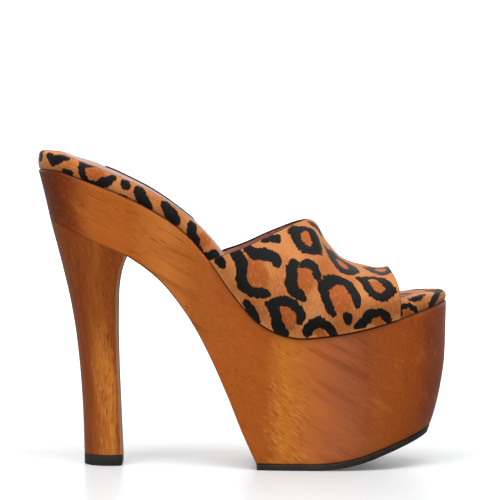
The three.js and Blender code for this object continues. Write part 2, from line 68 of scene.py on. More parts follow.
PLAN = {
    "along": [0, 0.14, 0.35, 0.45, 0.54, 0.63, 0.76, 0.88, 1],
    "width": [
        SEAT_WIDTH, SEAT_WIDTH, WAIST_WIDTH,
        (WAIST_WIDTH * 3 + BALL_WIDTH) / 4, (WAIST_WIDTH * 2 + BALL_WIDTH * 3) / 5,
        (WAIST_WIDTH + BALL_WIDTH * 6) / 7, BALL_WIDTH, (BALL_WIDTH * 2 + TOE_WIDTH) / 3, TOE_WIDTH,
    ],
    "outer": [0.5, 0.502, 0.54, 0.56, 0.54, 0.51, 0.495, 0.485, 0.48],
    "swing": [0, 0, 0, 0, 0, 0, 0.2, 1.8, 4.5],
}
PROFILE = {
    "along": [0, 0.05, 0.1, 0.2, 0.28, 0.36, 0.42, 0.48, 0.54, 0.6, 0.64, 0.7, 0.8, 0.9, 1],
    "seat": [1, 0.991, 0.951, 0.856, 0.758, 0.62, 0.456, 0.246, 0.088, 0.016, 0, 0, 0, 0, 0],
    "toe": [0, 0, 0, 0, 0, 0, 0, 0, 0, 0, 0, 0.056, 0.278, 0.62, 1],
    "pad": [1.05, 1, 0.94, 0.95, 0.97, 1.02, 1.2, 1.28, 1.2, 1.08, 1.05, 1.08, 1.1, 0.97, 0.56],
}
UNDERSIDE = {
    "along": [0, 0.13, 0.26, 0.39, 0.52, 0.645, 0.77, 0.895, 1],
    "height": [1, 0.945, 0.876, 0.778, 0.655, 0.506, 0.334, 0.142, 0],
}
TOE_WALL = {
    "down": [0, 0.42, 0.54, 0.67, 0.81, 0.95, 1],
    "back": [0, 0.08, 0.15, 0.3, 0.52, 0.84, 1],
}


def curve(table, over, column):
    """Smooth curve through one column of a table, with no overshoot between its rows."""
    x, y = np.array(table[over], float), np.array(table[column], float)
    slope = np.diff(y) / np.diff(x)
    before, after = slope[:-1], slope[1:]
    total = np.where(before + after == 0, 1, before + after)
    inside = np.where(before * after > 0, 2 * before * after / total, 0)
    tangent = np.concatenate([slope[:1], inside, slope[-1:]])

    def at(value):
        value = np.clip(value, x[0], x[-1])
        i = np.clip(np.searchsorted(x, value, side="right") - 1, 0, len(x) - 2)
        span = x[i + 1] - x[i]
        t = (value - x[i]) / span
        s = 1 - t
        return (
            y[i] * (1 + 2 * t) * s * s
            + y[i + 1] * (3 - 2 * t) * t * t
            + span * (tangent[i] * t * s * s - tangent[i + 1] * t * t * s)
        )

    return at


plan_width = curve(PLAN, "along", "width")
plan_outer = curve(PLAN, "along", "outer")
plan_swing = curve(PLAN, "along", "swing")
seat_rise = curve(PROFILE, "along", "seat")
toe_rise = curve(PROFILE, "along", "toe")
pad_share = curve(PROFILE, "along", "pad")
underside_rise = curve(UNDERSIDE, "along", "height")
toe_wall_back = curve(TOE_WALL, "down", "back")


def raw_edge(x, side):
    """Plan of the wood before the shoe is centred: side is -1 for the outer edge, 1 for the inner."""
    heel = np.sqrt(1 - np.maximum(0, 1 - x / HEEL_ROUND) ** 2)
    into_toe = np.clip((x - (LENGTH - TOE_ROUND)) / TOE_ROUND, 0, 1)
    toe = np.sqrt(1 - into_toe**TOE_FULLNESS)
    share = np.where(side < 0, plan_outer(x / LENGTH), 1 - plan_outer(x / LENGTH))
    return plan_swing(x / LENGTH) + side * plan_width(x / LENGTH) * share * heel * toe


def spaced(*spans):
    """Stations along the shoe. A span is (start, end, step, ease), eased where a round begins."""
    stations = []
    for start, end, step, ease in spans:
        count = max(2, int(round(abs(end - start) / step)))
        t = np.linspace(0, 1, count + 1)
        if ease == "in":
            t = 1 - np.cos(t * math.pi / 2)
        if ease == "out":
            t = np.sin(t * math.pi / 2)
        stations.append(start + (end - start) * t)
    joined = np.concatenate(stations)
    return joined[np.concatenate([[True], np.diff(joined) > 1e-6])]


STATIONS = spaced(
    (0, HEEL_ROUND, 0.7, "in"),
    (HEEL_ROUND, LENGTH - TOE_ROUND, 0.8, ""),
    (LENGTH - TOE_ROUND, LENGTH, 0.6, "out"),
)
CENTRE_X = LENGTH / 2
CENTRE_Y = raw_edge(STATIONS, 1).max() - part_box("wood_platform")[1].y / MM


def edge_y(x, side):
    return raw_edge(x, side) - CENTRE_Y


def wood_top(x):
    rise = seat_rise(x / LENGTH) * (SEAT_HEIGHT - BALL_HEIGHT)
    return BALL_HEIGHT + rise + toe_rise(x / LENGTH) * (TOE_HEIGHT - BALL_HEIGHT)


def tread_height(x):
    run = np.clip(x - FLAT_TREAD_END, 0, None)
    arc = SPRING_RADIUS * math.sin(SPRING_ANGLE)
    curved = SPRING_RADIUS - np.sqrt(SPRING_RADIUS**2 - np.minimum(run, arc) ** 2)
    return curved + np.maximum(0, run - arc) * math.tan(SPRING_ANGLE)


def outsole_top(x):
    run = np.clip(x - FLAT_TREAD_END, 0, SPRING_RADIUS * math.sin(SPRING_ANGLE))
    return tread_height(x) + OUTSOLE_THICKNESS / np.cos(np.arcsin(run / SPRING_RADIUS))


def joint_height(x):
    return JOINT_HEIGHT + (ARCH_HEIGHT - JOINT_HEIGHT) * (x - SEAT_LEAN) / (BREAST - SEAT_LEAN)


def wood_bottom(x):
    floor = OUTSOLE_THICKNESS + HAIRLINE
    share = underside_rise((x - BREAST) / (BLOCK_REAR - BREAST))
    under = np.where(x >= BLOCK_REAR, outsole_top(x) + HAIRLINE, floor + share * (ARCH_HEIGHT - floor))
    return np.where(x <= BREAST, joint_height(x), under)


def wood_ring(down, stations=STATIONS):
    """Outer and inner edge of the wood's wall at a share of its depth below the top."""
    down = np.broadcast_to(np.asarray(down, float), stations.shape)
    rolled = np.maximum(0, (stations - (LENGTH - ROLL_LENGTH)) / ROLL_LENGTH) ** 2
    x = stations + SEAT_LEAN * down * np.maximum(0, 1 - stations / BREAST)
    x = x - TOE_ROLL * toe_wall_back(down) * rolled
    top = wood_top(stations)
    z = top + down * (wood_bottom(x) - top)
    outer, inner = edge_y(stations, -1), edge_y(stations, 1)
    middle = (outer + inner) / 2
    half = (inner - outer) / 2
    lean = np.minimum((top - z) * math.tan(WALL_DRAFT), half) * half / (half + 2)
    return (
        np.stack([x, outer + lean, z], 1),
        np.stack([x, np.maximum(inner - lean, middle), z], 1),
    )


def inset(ring, distance):
    """The ring moved in, in plan, by one distance or by one for each station."""
    outer, inner = ring
    loop = np.concatenate([outer, inner[::-1]])
    distance = np.broadcast_to(np.asarray(distance, float), len(outer))
    distance = np.concatenate([distance, distance[::-1]])

    def neighbour(step):
        beside = np.roll(loop, step, 0)
        same = np.hypot(*(beside - loop)[:, :2].T) < 1e-6
        beside[same] = np.roll(loop, 2 * step, 0)[same]
        return beside

    along = (neighbour(-1) - neighbour(1))[:, :2]
    along /= np.hypot(*along.T)[:, None]
    moved = loop.copy()
    moved[:, 0] -= along[:, 1] * distance
    moved[:, 1] += along[:, 0] * distance
    return moved[: len(outer)], moved[len(outer) :][::-1]


def at_height(ring, height):
    """The ring with the height that a function of its x and y gives."""
    return tuple(np.column_stack([e[:, 0], e[:, 1], height(e[:, 0], e[:, 1])]) for e in ring)


def made(name, blocks, inked=None):
    """Mesh object from blocks of grid points, each (rows x columns x 3 in mm, flipped)."""
    points, faces, base = [], [], 0
    for block, flipped in blocks:
        rows, columns = block.shape[:2]
        corner = base + (np.arange(rows - 1)[:, None] * columns + np.arange(columns - 1)).ravel()
        quad = np.stack([corner, corner + 1, corner + columns + 1, corner + columns], 1)
        faces.append(quad[:, ::-1] if flipped else quad)
        points.append(block.reshape(-1, 3))
        base += rows * columns
    points = np.concatenate(points)
    placed = (points - np.array([CENTRE_X, 0, 0])) * MM
    mesh = bpy.data.meshes.new(name)
    mesh.from_pydata(placed.tolist(), [], np.concatenate(faces).tolist())
    if inked is not None:
        mesh.attributes.new("inked", "FLOAT", "POINT").data.foreach_set("value", inked.ravel())
    work = bmesh.new()
    work.from_mesh(mesh)
    bmesh.ops.remove_doubles(work, verts=work.verts, dist=2e-6)
    bmesh.ops.dissolve_degenerate(work, edges=work.edges, dist=1e-6)
    work.to_mesh(mesh)
    work.free()
    mesh.shade_smooth()
    mesh.set_sharp_from_angle(angle=math.radians(42))
    piece = bpy.data.objects.new(name, mesh)
    bpy.context.scene.collection.objects.link(piece)
    return piece


def stacked(name, rings, bottom=None, top=None, steps=12):
    """Solid from rings stacked from the bottom up, with its two caps on surfaces of x and y."""
    outer = np.stack([ring[0] for ring in rings])
    inner = np.stack([ring[1] for ring in rings])
    share = np.linspace(0, 1, steps + 1)[:, None, None]
    cap = outer[None, -1] + (inner[None, -1] - outer[None, -1]) * share
    base = outer[None, 0] + (inner[None, 0] - outer[None, 0]) * share
    if top:
        cap[1:-1, :, 2] = top(cap[1:-1, :, 0], cap[1:-1, :, 1])
    if bottom:
        base[1:-1, :, 2] = bottom(base[1:-1, :, 0], base[1:-1, :, 1])
    ends = [
        (outer[:, i, None] + (inner[:, i, None] - outer[:, i, None]) * share[:, 0][None])
        for i in (0, -1)
    ]
    for end, i in zip(ends, (0, -1)):
        if inner[0, i, 1] - outer[0, i, 1] > BLUNT_END:
            end[0], end[-1] = base[:, i], cap[:, i]
    return made(
        name,
        [(outer, False), (inner, True), (cap, False), (base, True), (ends[0], True), (ends[1], False)],
    )


class Value:
    """One output of a material's nodes, so that its maths reads as plain Python."""

    def __init__(self, finish, socket):
        self.finish, self.socket = finish, socket

    def maths(self, operation, other):
        node = self.finish.tree.nodes.new("ShaderNodeMath")
        node.operation = operation
        for slot, value in zip(node.inputs, (self, other)):
            self.finish.plug(slot, value)
        return Value(self.finish, node.outputs[0])

    def __add__(self, other):
        return self.maths("ADD", other)

    def __mul__(self, other):
        return self.maths("MULTIPLY", other)

    def __sub__(self, other):
        return self.maths("SUBTRACT", other)

    def step(self, low, high):
        """0 below low, 1 above high, smooth between. low may lie above high."""
        return self.finish.node(
            "ShaderNodeMapRange",
            {"interpolation_type": "SMOOTHSTEP"},
            {"Value": self, "From Min": low, "From Max": high},
        )


class Finish:
    """A material in the making: node() adds one node and returns one of its outputs."""

    def __init__(self, name, **shader):
        self.material = bpy.data.materials.new(name)
        self.material.use_nodes = True
        self.tree = self.material.node_tree
        self.shader = self.tree.nodes["Principled BSDF"]
        for key, value in shader.items():
            self.shader.inputs[key.replace("_", " ")].default_value = value

    def plug(self, slot, value):
        if isinstance(value, Value):
            self.tree.links.new(value.socket, slot)
        else:
            slot.default_value = value

    def node(self, kind, settings=None, sockets=None, output=0):
        node = self.tree.nodes.new(kind)
        for key, value in (settings or {}).items():
            if key == "stops":
                ramp = node.color_ramp
                while len(ramp.elements) < len(value):
                    ramp.elements.new(0.5)
                for element, (place, colour) in zip(ramp.elements, value):
                    element.position, element.color = place, (*colour, 1)
            else:
                setattr(node, key, value)
        for key, value in (sockets or {}).items():
            self.plug(node.inputs[key], value)
        return Value(self, node.outputs[output])

    def place(self, turn=(0, 0, 0), stretch=(1, 1, 1)):
        """Object coordinates, turned and then stretched."""
        here = self.node("ShaderNodeTexCoord", output=3)
        turned = self.node("ShaderNodeMapping", None, {"Vector": here, "Rotation": turn})
        return self.node("ShaderNodeMapping", None, {"Vector": turned, "Scale": stretch})

    def noise(self, vector, scale, detail, roughness=0.55):
        sockets = {"Vector": vector, "Scale": scale, "Detail": detail, "Roughness": roughness}
        return self.node("ShaderNodeTexNoise", None, sockets)

    def mix(self, low, high, factor):
        settings = {"data_type": "RGBA", "clamp_factor": True}
        low, high = (v if isinstance(v, Value) else (*v, 1) for v in (low, high))
        return self.node("ShaderNodeMix", settings, {0: factor, 6: low, 7: high}, output=2)

    def finished(self, colour, roughness, height, depth, strength):
        """Connects colour and roughness, and a bump of that depth in metres."""
        self.plug(self.shader.inputs["Base Color"], colour)
        self.plug(self.shader.inputs["Roughness"], roughness)
        sockets = {"Height": height, "Strength": strength, "Distance": depth}
        bump = self.node("ShaderNodeBump", None, sockets)
        self.plug(self.shader.inputs["Normal"], bump)
        return self.material


def tone(red, green, blue):
    """Linear colour of a display colour from 0 to 255."""
    return tuple(
        (v / 255 / 12.92) if v / 255 <= 0.04045 else ((v / 255 + 0.055) / 1.055) ** 2.4
        for v in (red, green, blue)
    )


PIVOT_HEIGHT = 0.036  # metres above the floor, where leaning streaks have their stated place


def lacquered_wood(name, grain, bands, curl, lean, plain, seed):
    """Brown lacquered wood. grain is the turn that lays its fibres along X. bands are broad streaks along
    the shoe, a share of its length and a display colour each: partly the wood's own figured streaks and
    partly painted light, highlights, reflections and shade laid into the colour. lean is how far they lean
    back for each metre of height. curl is the stretch with short pale flecks across the fibres. plain is
    how far the bands give way to one red-brown tone higher up."""
    finish = Finish(name, Coat_Weight=0.16, Coat_Roughness=0.1, IOR=1.45, Specular_IOR_Level=0.2)
    finish.shader.inputs["Specular Tint"].default_value = (1, 0.72, 0.5, 1)
    here = finish.place()
    upward = finish.node("ShaderNodeSeparateXYZ", None, {0: here}, output=2)
    wander = finish.noise(finish.place(grain, (1, 9, 9)), 10 + seed, 2.0) - 0.5
    lengthwise = finish.node("ShaderNodeSeparateXYZ", None, {0: here}) + wander * 0.014
    lengthwise = lengthwise * (1 / (LENGTH * MM)) + upward * lean + 0.5 - lean * PIVOT_HEIGHT
    # The bands lay the wood's figure together with painted light and shade into one colour ramp.
    stops = [(place, tone(*colour)) for place, *colour in bands]
    figure_and_painted_light = finish.node("ShaderNodeValToRGB", {"stops": stops}, {0: lengthwise})
    figure_and_painted_light = finish.mix(figure_and_painted_light, tone(158, 77, 30), upward.step(0.05, 0.09) * plain)
    clouds = finish.noise(finish.place(grain, (1, 10, 10)), 14 + seed, 4.0, 0.6)
    lines = finish.noise(finish.place(grain, (1, 30, 30)), 34, 3.0, 0.6)
    dashes = finish.noise(finish.place(grain, (1, 24, 24)), 75, 1.5).step(0.6, 0.7)
    steeper = (grain[0], grain[1] - math.radians(9), grain[2])
    flecks = finish.noise(finish.place(steeper, (1, 7, 7)), 170, 1.5)
    curly = lengthwise.step(curl[0], curl[0] + 0.02) * lengthwise.step(curl[1], curl[1] - 0.03)
    curly = curly * finish.noise(here, 30 + seed, 1.0).step(0.35, 0.55) * upward.step(0.085, 0.05)
    patches = finish.noise(here, 45, 1.0)
    shank = lengthwise.step(0.56, 0.42) * 0.5 + 0.2
    colour = finish.mix(figure_and_painted_light, tone(122, 56, 18), clouds.step(0.44, 0.26) * 0.45)
    colour = finish.mix(colour, tone(212, 132, 50), clouds.step(0.54, 0.76) * 0.3)
    colour = finish.mix(colour, tone(110, 50, 18), lines.step(0.54, 0.74) * (shank * 0.25 + 0.18))
    colour = finish.mix(colour, tone(206, 128, 56), lines.step(0.46, 0.3) * 0.25)
    colour = finish.mix(colour, tone(236, 172, 88), flecks.step(0.54, 0.68) * curly * 0.4)
    colour = finish.mix(colour, tone(120, 60, 18), flecks.step(0.46, 0.32) * curly * 0.45)
    colour = finish.mix(colour, tone(78, 34, 12), dashes * patches.step(0.4, 0.6) * shank)
    # Painted shade: a dark line along the wood's edges and along the seat's joint with the heel.
    dark_line = finish.node("ShaderNodeAttribute", {"attribute_name": "dark_line"}, output=2)
    colour = finish.mix(colour, tone(62, 30, 16), dark_line * 0.85)
    # Painted highlight: a pale tan line down the heel's front corners.
    bevel = finish.node("ShaderNodeAttribute", {"attribute_name": "bevel"}, output=2)
    colour = finish.mix(colour, tone(214, 164, 116), bevel * 0.8)
    return finish.finished(colour, lines * 0.12 + 0.4, lines * 0.5 - dashes, 0.0001, 0.4)


platform_wood = lacquered_wood(
    "platform_wood",
    grain=(0, math.radians(-30), 0),
    # Painted light in the bands: from 0.6 on they are partly the wood's figure and partly painted light on
    # the block, with a bright band at 0.6, a softbox's mauve reflection painted at 0.69 and 0.75, and
    # lighter and darker bands from 0.8 to the dark toe at 0.97 where the block's round face turns to and
    # from the light. The dark bands at the back of the seat, up to 0.085, are partly painted shade.
    bands=[
        (0.02, 116, 51, 18), (0.05, 119, 48, 15), (0.085, 142, 62, 20), (0.13, 190, 99, 34),
        (0.23, 192, 100, 34), (0.31, 213, 125, 54), (0.38, 188, 100, 36), (0.5, 190, 95, 32),
        (0.555, 186, 94, 30), (0.6, 216, 124, 40), (0.69, 198, 108, 56), (0.75, 179, 98, 58),
        (0.8, 167, 85, 44), (0.86, 175, 84, 28), (0.92, 175, 82, 24), (0.97, 146, 61, 20),
    ],
    curl=(0.55, 0.67),
    lean=0.0,
    plain=0.0,
    seed=0,
)


def mesh_points(piece):
    """Vertices of a piece in the sizes of this file: mm, and X from the back of the heel."""
    flat = np.empty(len(piece.data.vertices) * 3)
    piece.data.vertices.foreach_get("co", flat)
    return flat.reshape(-1, 3) / MM + np.array([CENTRE_X, 0, 0])


def store(piece, name, values):
    piece.data.attributes.new(name, "FLOAT", "POINT").data.foreach_set("value", values)


def wood_levels(stations):
    """Rings of the wooden sole from its underside to its top, with both edges rounded."""
    depth = wood_top(stations) - wood_bottom(wood_ring(1, stations)[0][:, 0])
    upper = np.minimum(WOOD_EDGE, depth / 4)
    lower = np.minimum(upper, np.maximum(0, stations - BREAST) * 0.2)
    rings = []
    for turn in np.radians([0, 30, 60, 90]):
        level = wood_ring(1 - lower * (1 - math.cos(turn)) / depth, stations)
        rings.append(inset(level, lower * (1 - math.sin(turn))))
    for share in np.linspace(0.96, 0.04, 26):
        rings.append(wood_ring(upper / depth + share * (1 - (upper + lower) / depth), stations))
    for turn in np.radians([90, 60, 30, 0]):
        sunk = upper * (1 - math.cos(turn))
        level = inset(wood_ring(sunk / depth, stations), upper * (1 - math.sin(turn)))
        rings.append(at_height(level, lambda x, y, sunk=sunk: wood_top(x) - sunk))
    return rings


sole = stacked("wooden_sole", wood_levels(STATIONS), top=lambda x, y: wood_top(x))
sole_points = mesh_points(sole)
above_bottom = sole_points[:, 2] - wood_bottom(sole_points[:, 0])
below_top = wood_top(sole_points[:, 0]) - sole_points[:, 2]
# Painted shade: the wood is darkened in a thin line along its top edge under the cover, along its underside
# edges and along the seat's joint with the heel.
joint_shade = np.clip((JOINT_SHADE - np.abs(above_bottom)) / JOINT_SHADE_FADE, 0, 0.6)
low_edge_shade = np.clip((EDGE_SHADE - above_bottom) / EDGE_SHADE_FADE, 0, 1)
top_edge_shade = np.clip((EDGE_SHADE - below_top) / EDGE_SHADE_FADE, 0, 1)
store(sole, "dark_line", np.maximum(np.where(sole_points[:, 0] > BREAST, low_edge_shade, joint_shade), top_edge_shade))
sole.data.materials.append(platform_wood)
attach(sole, "root")
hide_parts("wood_platform")

# Wooden heel
# A separate block glued under the seat, turned from the same wood with its grain upright. It is flat in
# front, round behind, and narrows to its waist. A pale tan line is painted down its two front corners as a
# highlight on the breast's edges.
HEEL_TIP_BACK, HEEL_TIP_DEPTH, HEEL_TIP_WIDTH = 24.6, 20.7, 29
BREAST_CORNER, CORNER_STRETCH = 3, 8
# Painted highlight down the front corners: its depth back from the breast, its width round the side, and
# its fade.
BREAST_HIGHLIGHT_DEPTH, BREAST_HIGHLIGHT_SIDE, BREAST_HIGHLIGHT_FADE = 1, 0.4, 0.5
LIFT_THICKNESS = 6
HEEL_TAPER = {
    "down": [0, 0.1, 0.2, 0.35, 0.5, 0.7, 0.85, 1],
    "back": [0, 0.18, 0.36, 0.6, 0.77, 0.91, 0.97, 1],
    "breast": [0, 1.3, 1.78, 1.84, 1.75, 1.48, 1.25, 1],
    "side": [0, 0.2, 0.37, 0.58, 0.74, 0.9, 0.97, 1],
}
heel_back = curve(HEEL_TAPER, "down", "back")
heel_breast = curve(HEEL_TAPER, "down", "breast")
heel_side = curve(HEEL_TAPER, "down", "side")
HEEL_STATIONS = spaced(
    (0, HEEL_ROUND, 1.0, "in"),
    (HEEL_ROUND, BREAST - CORNER_STRETCH, 1.2, ""),
    (BREAST - CORNER_STRETCH, BREAST, 0.8, "out"),
)


def heel_ring(down):
    """Ring of the heel at a share of its height below the glue line."""
    outer, inner = wood_ring(1, HEEL_STATIONS)
    front = BREAST + (HEEL_TIP_BACK + HEEL_TIP_DEPTH - BREAST) * heel_breast(down)
    back = SEAT_LEAN + (HEEL_TIP_BACK - SEAT_LEAN) * heel_back(down)
    narrow = 1 + (HEEL_TIP_WIDTH / (inner[-1, 1] - outer[-1, 1]) - 1) * heel_side(down)
    corner = BREAST_CORNER * min(1, down * 4) + HAIRLINE
    ring = []
    for edge in (outer, inner):
        x = back + (front - back) * (edge[:, 0] - SEAT_LEAN) / (BREAST - SEAT_LEAN)
        into = np.maximum(0, x - (front - corner))
        rounded = corner - np.sqrt(np.maximum(0, corner**2 - into**2))
        y = (edge[:, 1] + CENTRE_Y) * narrow - CENTRE_Y
        y = y - np.sign(edge[:, 1] + CENTRE_Y) * rounded
        z = edge[:, 2] - HAIRLINE + (LIFT_THICKNESS + HAIRLINE - edge[:, 2]) * down
        ring.append(np.stack([x, y, z], 1))
    return tuple(ring)


heel_wood = lacquered_wood(
    "heel_wood",
    grain=(0, math.radians(-84), 0),
    # Painted light in the bands: the pale golden band from 0.15 to 0.185 is a painted highlight down the
    # heel's round near side, and the darker bands at its back are partly painted shade.
    bands=[
        (0.0, 130, 62, 24), (0.08, 152, 70, 24), (0.13, 160, 75, 26), (0.15, 186, 99, 38),
        (0.168, 224, 134, 54), (0.185, 172, 86, 36), (0.21, 168, 84, 32),
    ],
    curl=(0.135, 0.215),
    lean=0.3,
    plain=0.75,
    seed=3,
)
heel_levels = [heel_ring(down) for down in 1 - np.linspace(0, 1, 60) ** 1.25]
heel = stacked("wooden_heel", heel_levels, steps=16)
heel_points = mesh_points(heel)
# Painted highlight: a pale line down both front corners of the heel, fading in over the last mm before the
# breast.
corners = np.array([level[0][-1] for level in heel_levels])
corner_x = np.interp(heel_points[:, 2], corners[:, 2], corners[:, 0])
corner_y = np.interp(heel_points[:, 2], corners[:, 2], corners[:, 1])
past_corner = np.abs(heel_points[:, 1] + CENTRE_Y) > np.abs(corner_y + CENTRE_Y) - BREAST_HIGHLIGHT_SIDE
near_front = np.clip((heel_points[:, 0] - corner_x + BREAST_HIGHLIGHT_DEPTH) / BREAST_HIGHLIGHT_FADE, 0, 1)
store(heel, "bevel", np.where(past_corner, near_front, 0))
heel.data.materials.append(heel_wood)
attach(heel, "root")
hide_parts("wood_heel")

# Heel lift and outsole
# Two pieces of black rubber, cut to the outline of the wood and glued under it. Their cut edges
# are buffed and slightly grey.
LIFT_EDGE, TREAD_EDGE = 0.5, 0.5
OUTSOLE_ROLL = 1.1


def buffed_rubber():
    finish = Finish("buffed_rubber", Specular_IOR_Level=0.35)
    here = finish.place()
    grain = finish.noise(here, 900, 3.0, 0.6)
    dust = finish.noise(here, 60, 4.0, 0.6)
    colour = finish.mix(tone(38, 33, 29), tone(56, 49, 43), dust.step(0.35, 0.75))
    colour = finish.mix(colour, tone(30, 27, 25), grain.step(0.55, 0.8) * 0.5)
    return finish.finished(colour, dust * 0.2 + 0.5, grain, 0.0001, 0.5)


rubber = buffed_rubber()
tip = heel_ring(1)
lift_steps = [
    (LIFT_EDGE, 0),
    (LIFT_EDGE * 0.3, LIFT_EDGE * 0.3),
    (0, LIFT_EDGE),
    (0, LIFT_THICKNESS - LIFT_EDGE / 2),
    (LIFT_EDGE * 0.4, LIFT_THICKNESS - HAIRLINE),
]
lift = stacked(
    "rubber_lift",
    [at_height(inset(tip, inward), lambda x, y, z=height: 0 * x + z) for inward, height in lift_steps],
)
SOLE_STATIONS = STATIONS[STATIONS >= BLOCK_REAR - 1e-6]
sole_plan = wood_ring(1, SOLE_STATIONS)
spread = (SOLE_STATIONS - BLOCK_REAR) / (LENGTH - BLOCK_REAR)
leaned = np.column_stack([spread * OUTSOLE_ROLL, 0 * spread, 0 * spread])
lower_plan = tuple(edge - leaned for edge in sole_plan)
tread_levels = [
    at_height(inset(lower_plan, TREAD_EDGE), lambda x, y: tread_height(x)),
    at_height(inset(lower_plan, TREAD_EDGE * 0.2), lambda x, y: tread_height(x) + TREAD_EDGE * 0.3),
    at_height(lower_plan, lambda x, y: tread_height(x) + TREAD_EDGE),
    at_height(sole_plan, lambda x, y: outsole_top(x) - TREAD_EDGE * 0.6),
    at_height(inset(sole_plan, TREAD_EDGE * 0.6), lambda x, y: outsole_top(x)),
]
outsole = stacked("rubber_outsole", tread_levels, lambda x, y: tread_height(x), lambda x, y: outsole_top(x))
for piece, node in ((lift, "heel_lift"), (outsole, "outsole")):
    piece.data.materials.append(rubber)
    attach(piece, "root")
    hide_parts(node)

# Footbed
# A shaped board with a thin foam pad, wrapped in printed calf hair that is drawn over its rounded
# edge and lasted under it. At the arch the pad sinks towards the inner side, and its inner rim
# stands up beside the sock as a low roll.
GAP = 0.3
FOOTBED_THICKNESS, FOOTBED_INSET, FOOTBED_EDGE = 9.6, 0.4, 2.8
FOOTBED_DISH_DEPTH, FOOTBED_DISH_WIDTH = 0.9, 40
TUCK, SIDE_BULGE = 0.9, 0.35
BEAD_HEIGHT, BEAD_START, BEAD_END, BEAD_FADE = 1.05, 33, 86, 3
BEAD_NEAR, BEAD_FAR, BEAD_ROUND = 0.6, 2.9, 0.9  # its two sides, in from the rim
PRESS_REACH = 22
ARCH = {
    "along": [42, 50, 58, 68, 76, 84, 93, 100],
    "press": [0, 0.35, 0.5, 1.1, 1.6, 1.5, 0.9, 0],
}
arch_press = curve(ARCH, "along", "press")


def footbed_rim(x):
    return wood_top(x) + GAP + pad_share(x / LENGTH) * FOOTBED_THICKNESS


def pressed(x, y):
    """How far the pad gives way towards its inner edge under the arch."""
    return arch_press(x) * np.clip(y / PRESS_REACH, 0, 1)


def footbed_top(x, y):
    inner, outer = edge_y(x, 1), edge_y(x, -1)
    flat = inner - outer - 2 * (FOOTBED_INSET + FOOTBED_EDGE)
    across = (2 * y - inner - outer) / np.maximum(flat, GAP)
    depth = FOOTBED_DISH_DEPTH * np.clip(flat / FOOTBED_DISH_WIDTH, 0, 1)
    return footbed_rim(x) - depth * np.maximum(0, 1 - across * across)


def bed_side(x, share):
    """Height at a share of the way up the footbed's straight side."""
    return (wood_top(x) + GAP + TUCK) * (1 - share) + (footbed_rim(x) - FOOTBED_EDGE) * share


BED_STATIONS = spaced(
    (0, HEEL_ROUND, 0.55, "in"),
    (HEEL_ROUND, LENGTH - TOE_ROUND, 0.55, ""),
    (LENGTH - TOE_ROUND, LENGTH, 0.45, "out"),
)
wood_plan = tuple(
    np.column_stack([BED_STATIONS, edge_y(BED_STATIONS, side), 0 * BED_STATIONS]) for side in (-1, 1)
)
bed_plan = inset(wood_plan, FOOTBED_INSET)
bed_levels = [
    at_height(inset(bed_plan, TUCK), lambda x, y: wood_top(x) + HAIRLINE),
    at_height(inset(bed_plan, TUCK * 0.3), lambda x, y: wood_top(x) + GAP + TUCK * 0.25),
]
for share in np.linspace(0, 1, 15):
    level = inset(bed_plan, -SIDE_BULGE * math.sin(math.pi * share))
    bed_levels.append(at_height(level, lambda x, y, share=share: bed_side(x, share)))
for turn in np.radians(np.linspace(11, 90, 8)):
    level = inset(bed_plan, FOOTBED_EDGE * (1 - math.cos(turn)))
    sunk = FOOTBED_EDGE * (1 - math.sin(turn))
    bed_levels.append(at_height(level, lambda x, y, sunk=sunk: footbed_rim(x) - sunk))
bed = stacked("footbed_cover", bed_levels, lambda x, y: wood_top(x) + HAIRLINE, footbed_top, steps=90)

# The cover's print is laid out flat: along is the way round the rim from the back of the heel,
# negative on the inner side, and drop runs over the rim, positive down the side.
RIM_IN, RIM_DOWN = FOOTBED_EDGE * 0.2, FOOTBED_EDGE * 0.4
BATCH = 4000  # points measured at a time
rim_curve = at_height(inset(bed_plan, RIM_IN), lambda x, y: footbed_rim(x) - RIM_DOWN)


def rim_coordinates(points):
    """Print coordinates (along, drop) of points of the footbed, in mm."""
    best = np.full(len(points), 1e9)
    along, drop = np.zeros(len(points)), np.zeros(len(points))
    for edge, side in zip(rim_curve, (1, -1)):
        length = np.concatenate([[0], np.cumsum(np.linalg.norm(np.diff(edge, axis=0), axis=1))])
        for start in range(0, len(points), BATCH):
            part = slice(start, start + BATCH)
            away = points[part, None] - edge[None]
            distance = np.einsum("ijk,ijk->ij", away, away)
            nearest = distance.argmin(1)
            gap = np.sqrt(distance[np.arange(len(nearest)), nearest])
            closer = gap < best[part]
            below = points[part, 2] < footbed_rim(points[part, 0]) - RIM_DOWN
            best[part] = np.where(closer, gap, best[part])
            along[part] = np.where(closer, side * length[nearest], along[part])
            drop[part] = np.where(closer, np.where(below, gap, -gap), drop[part])
    return np.column_stack([along, drop])


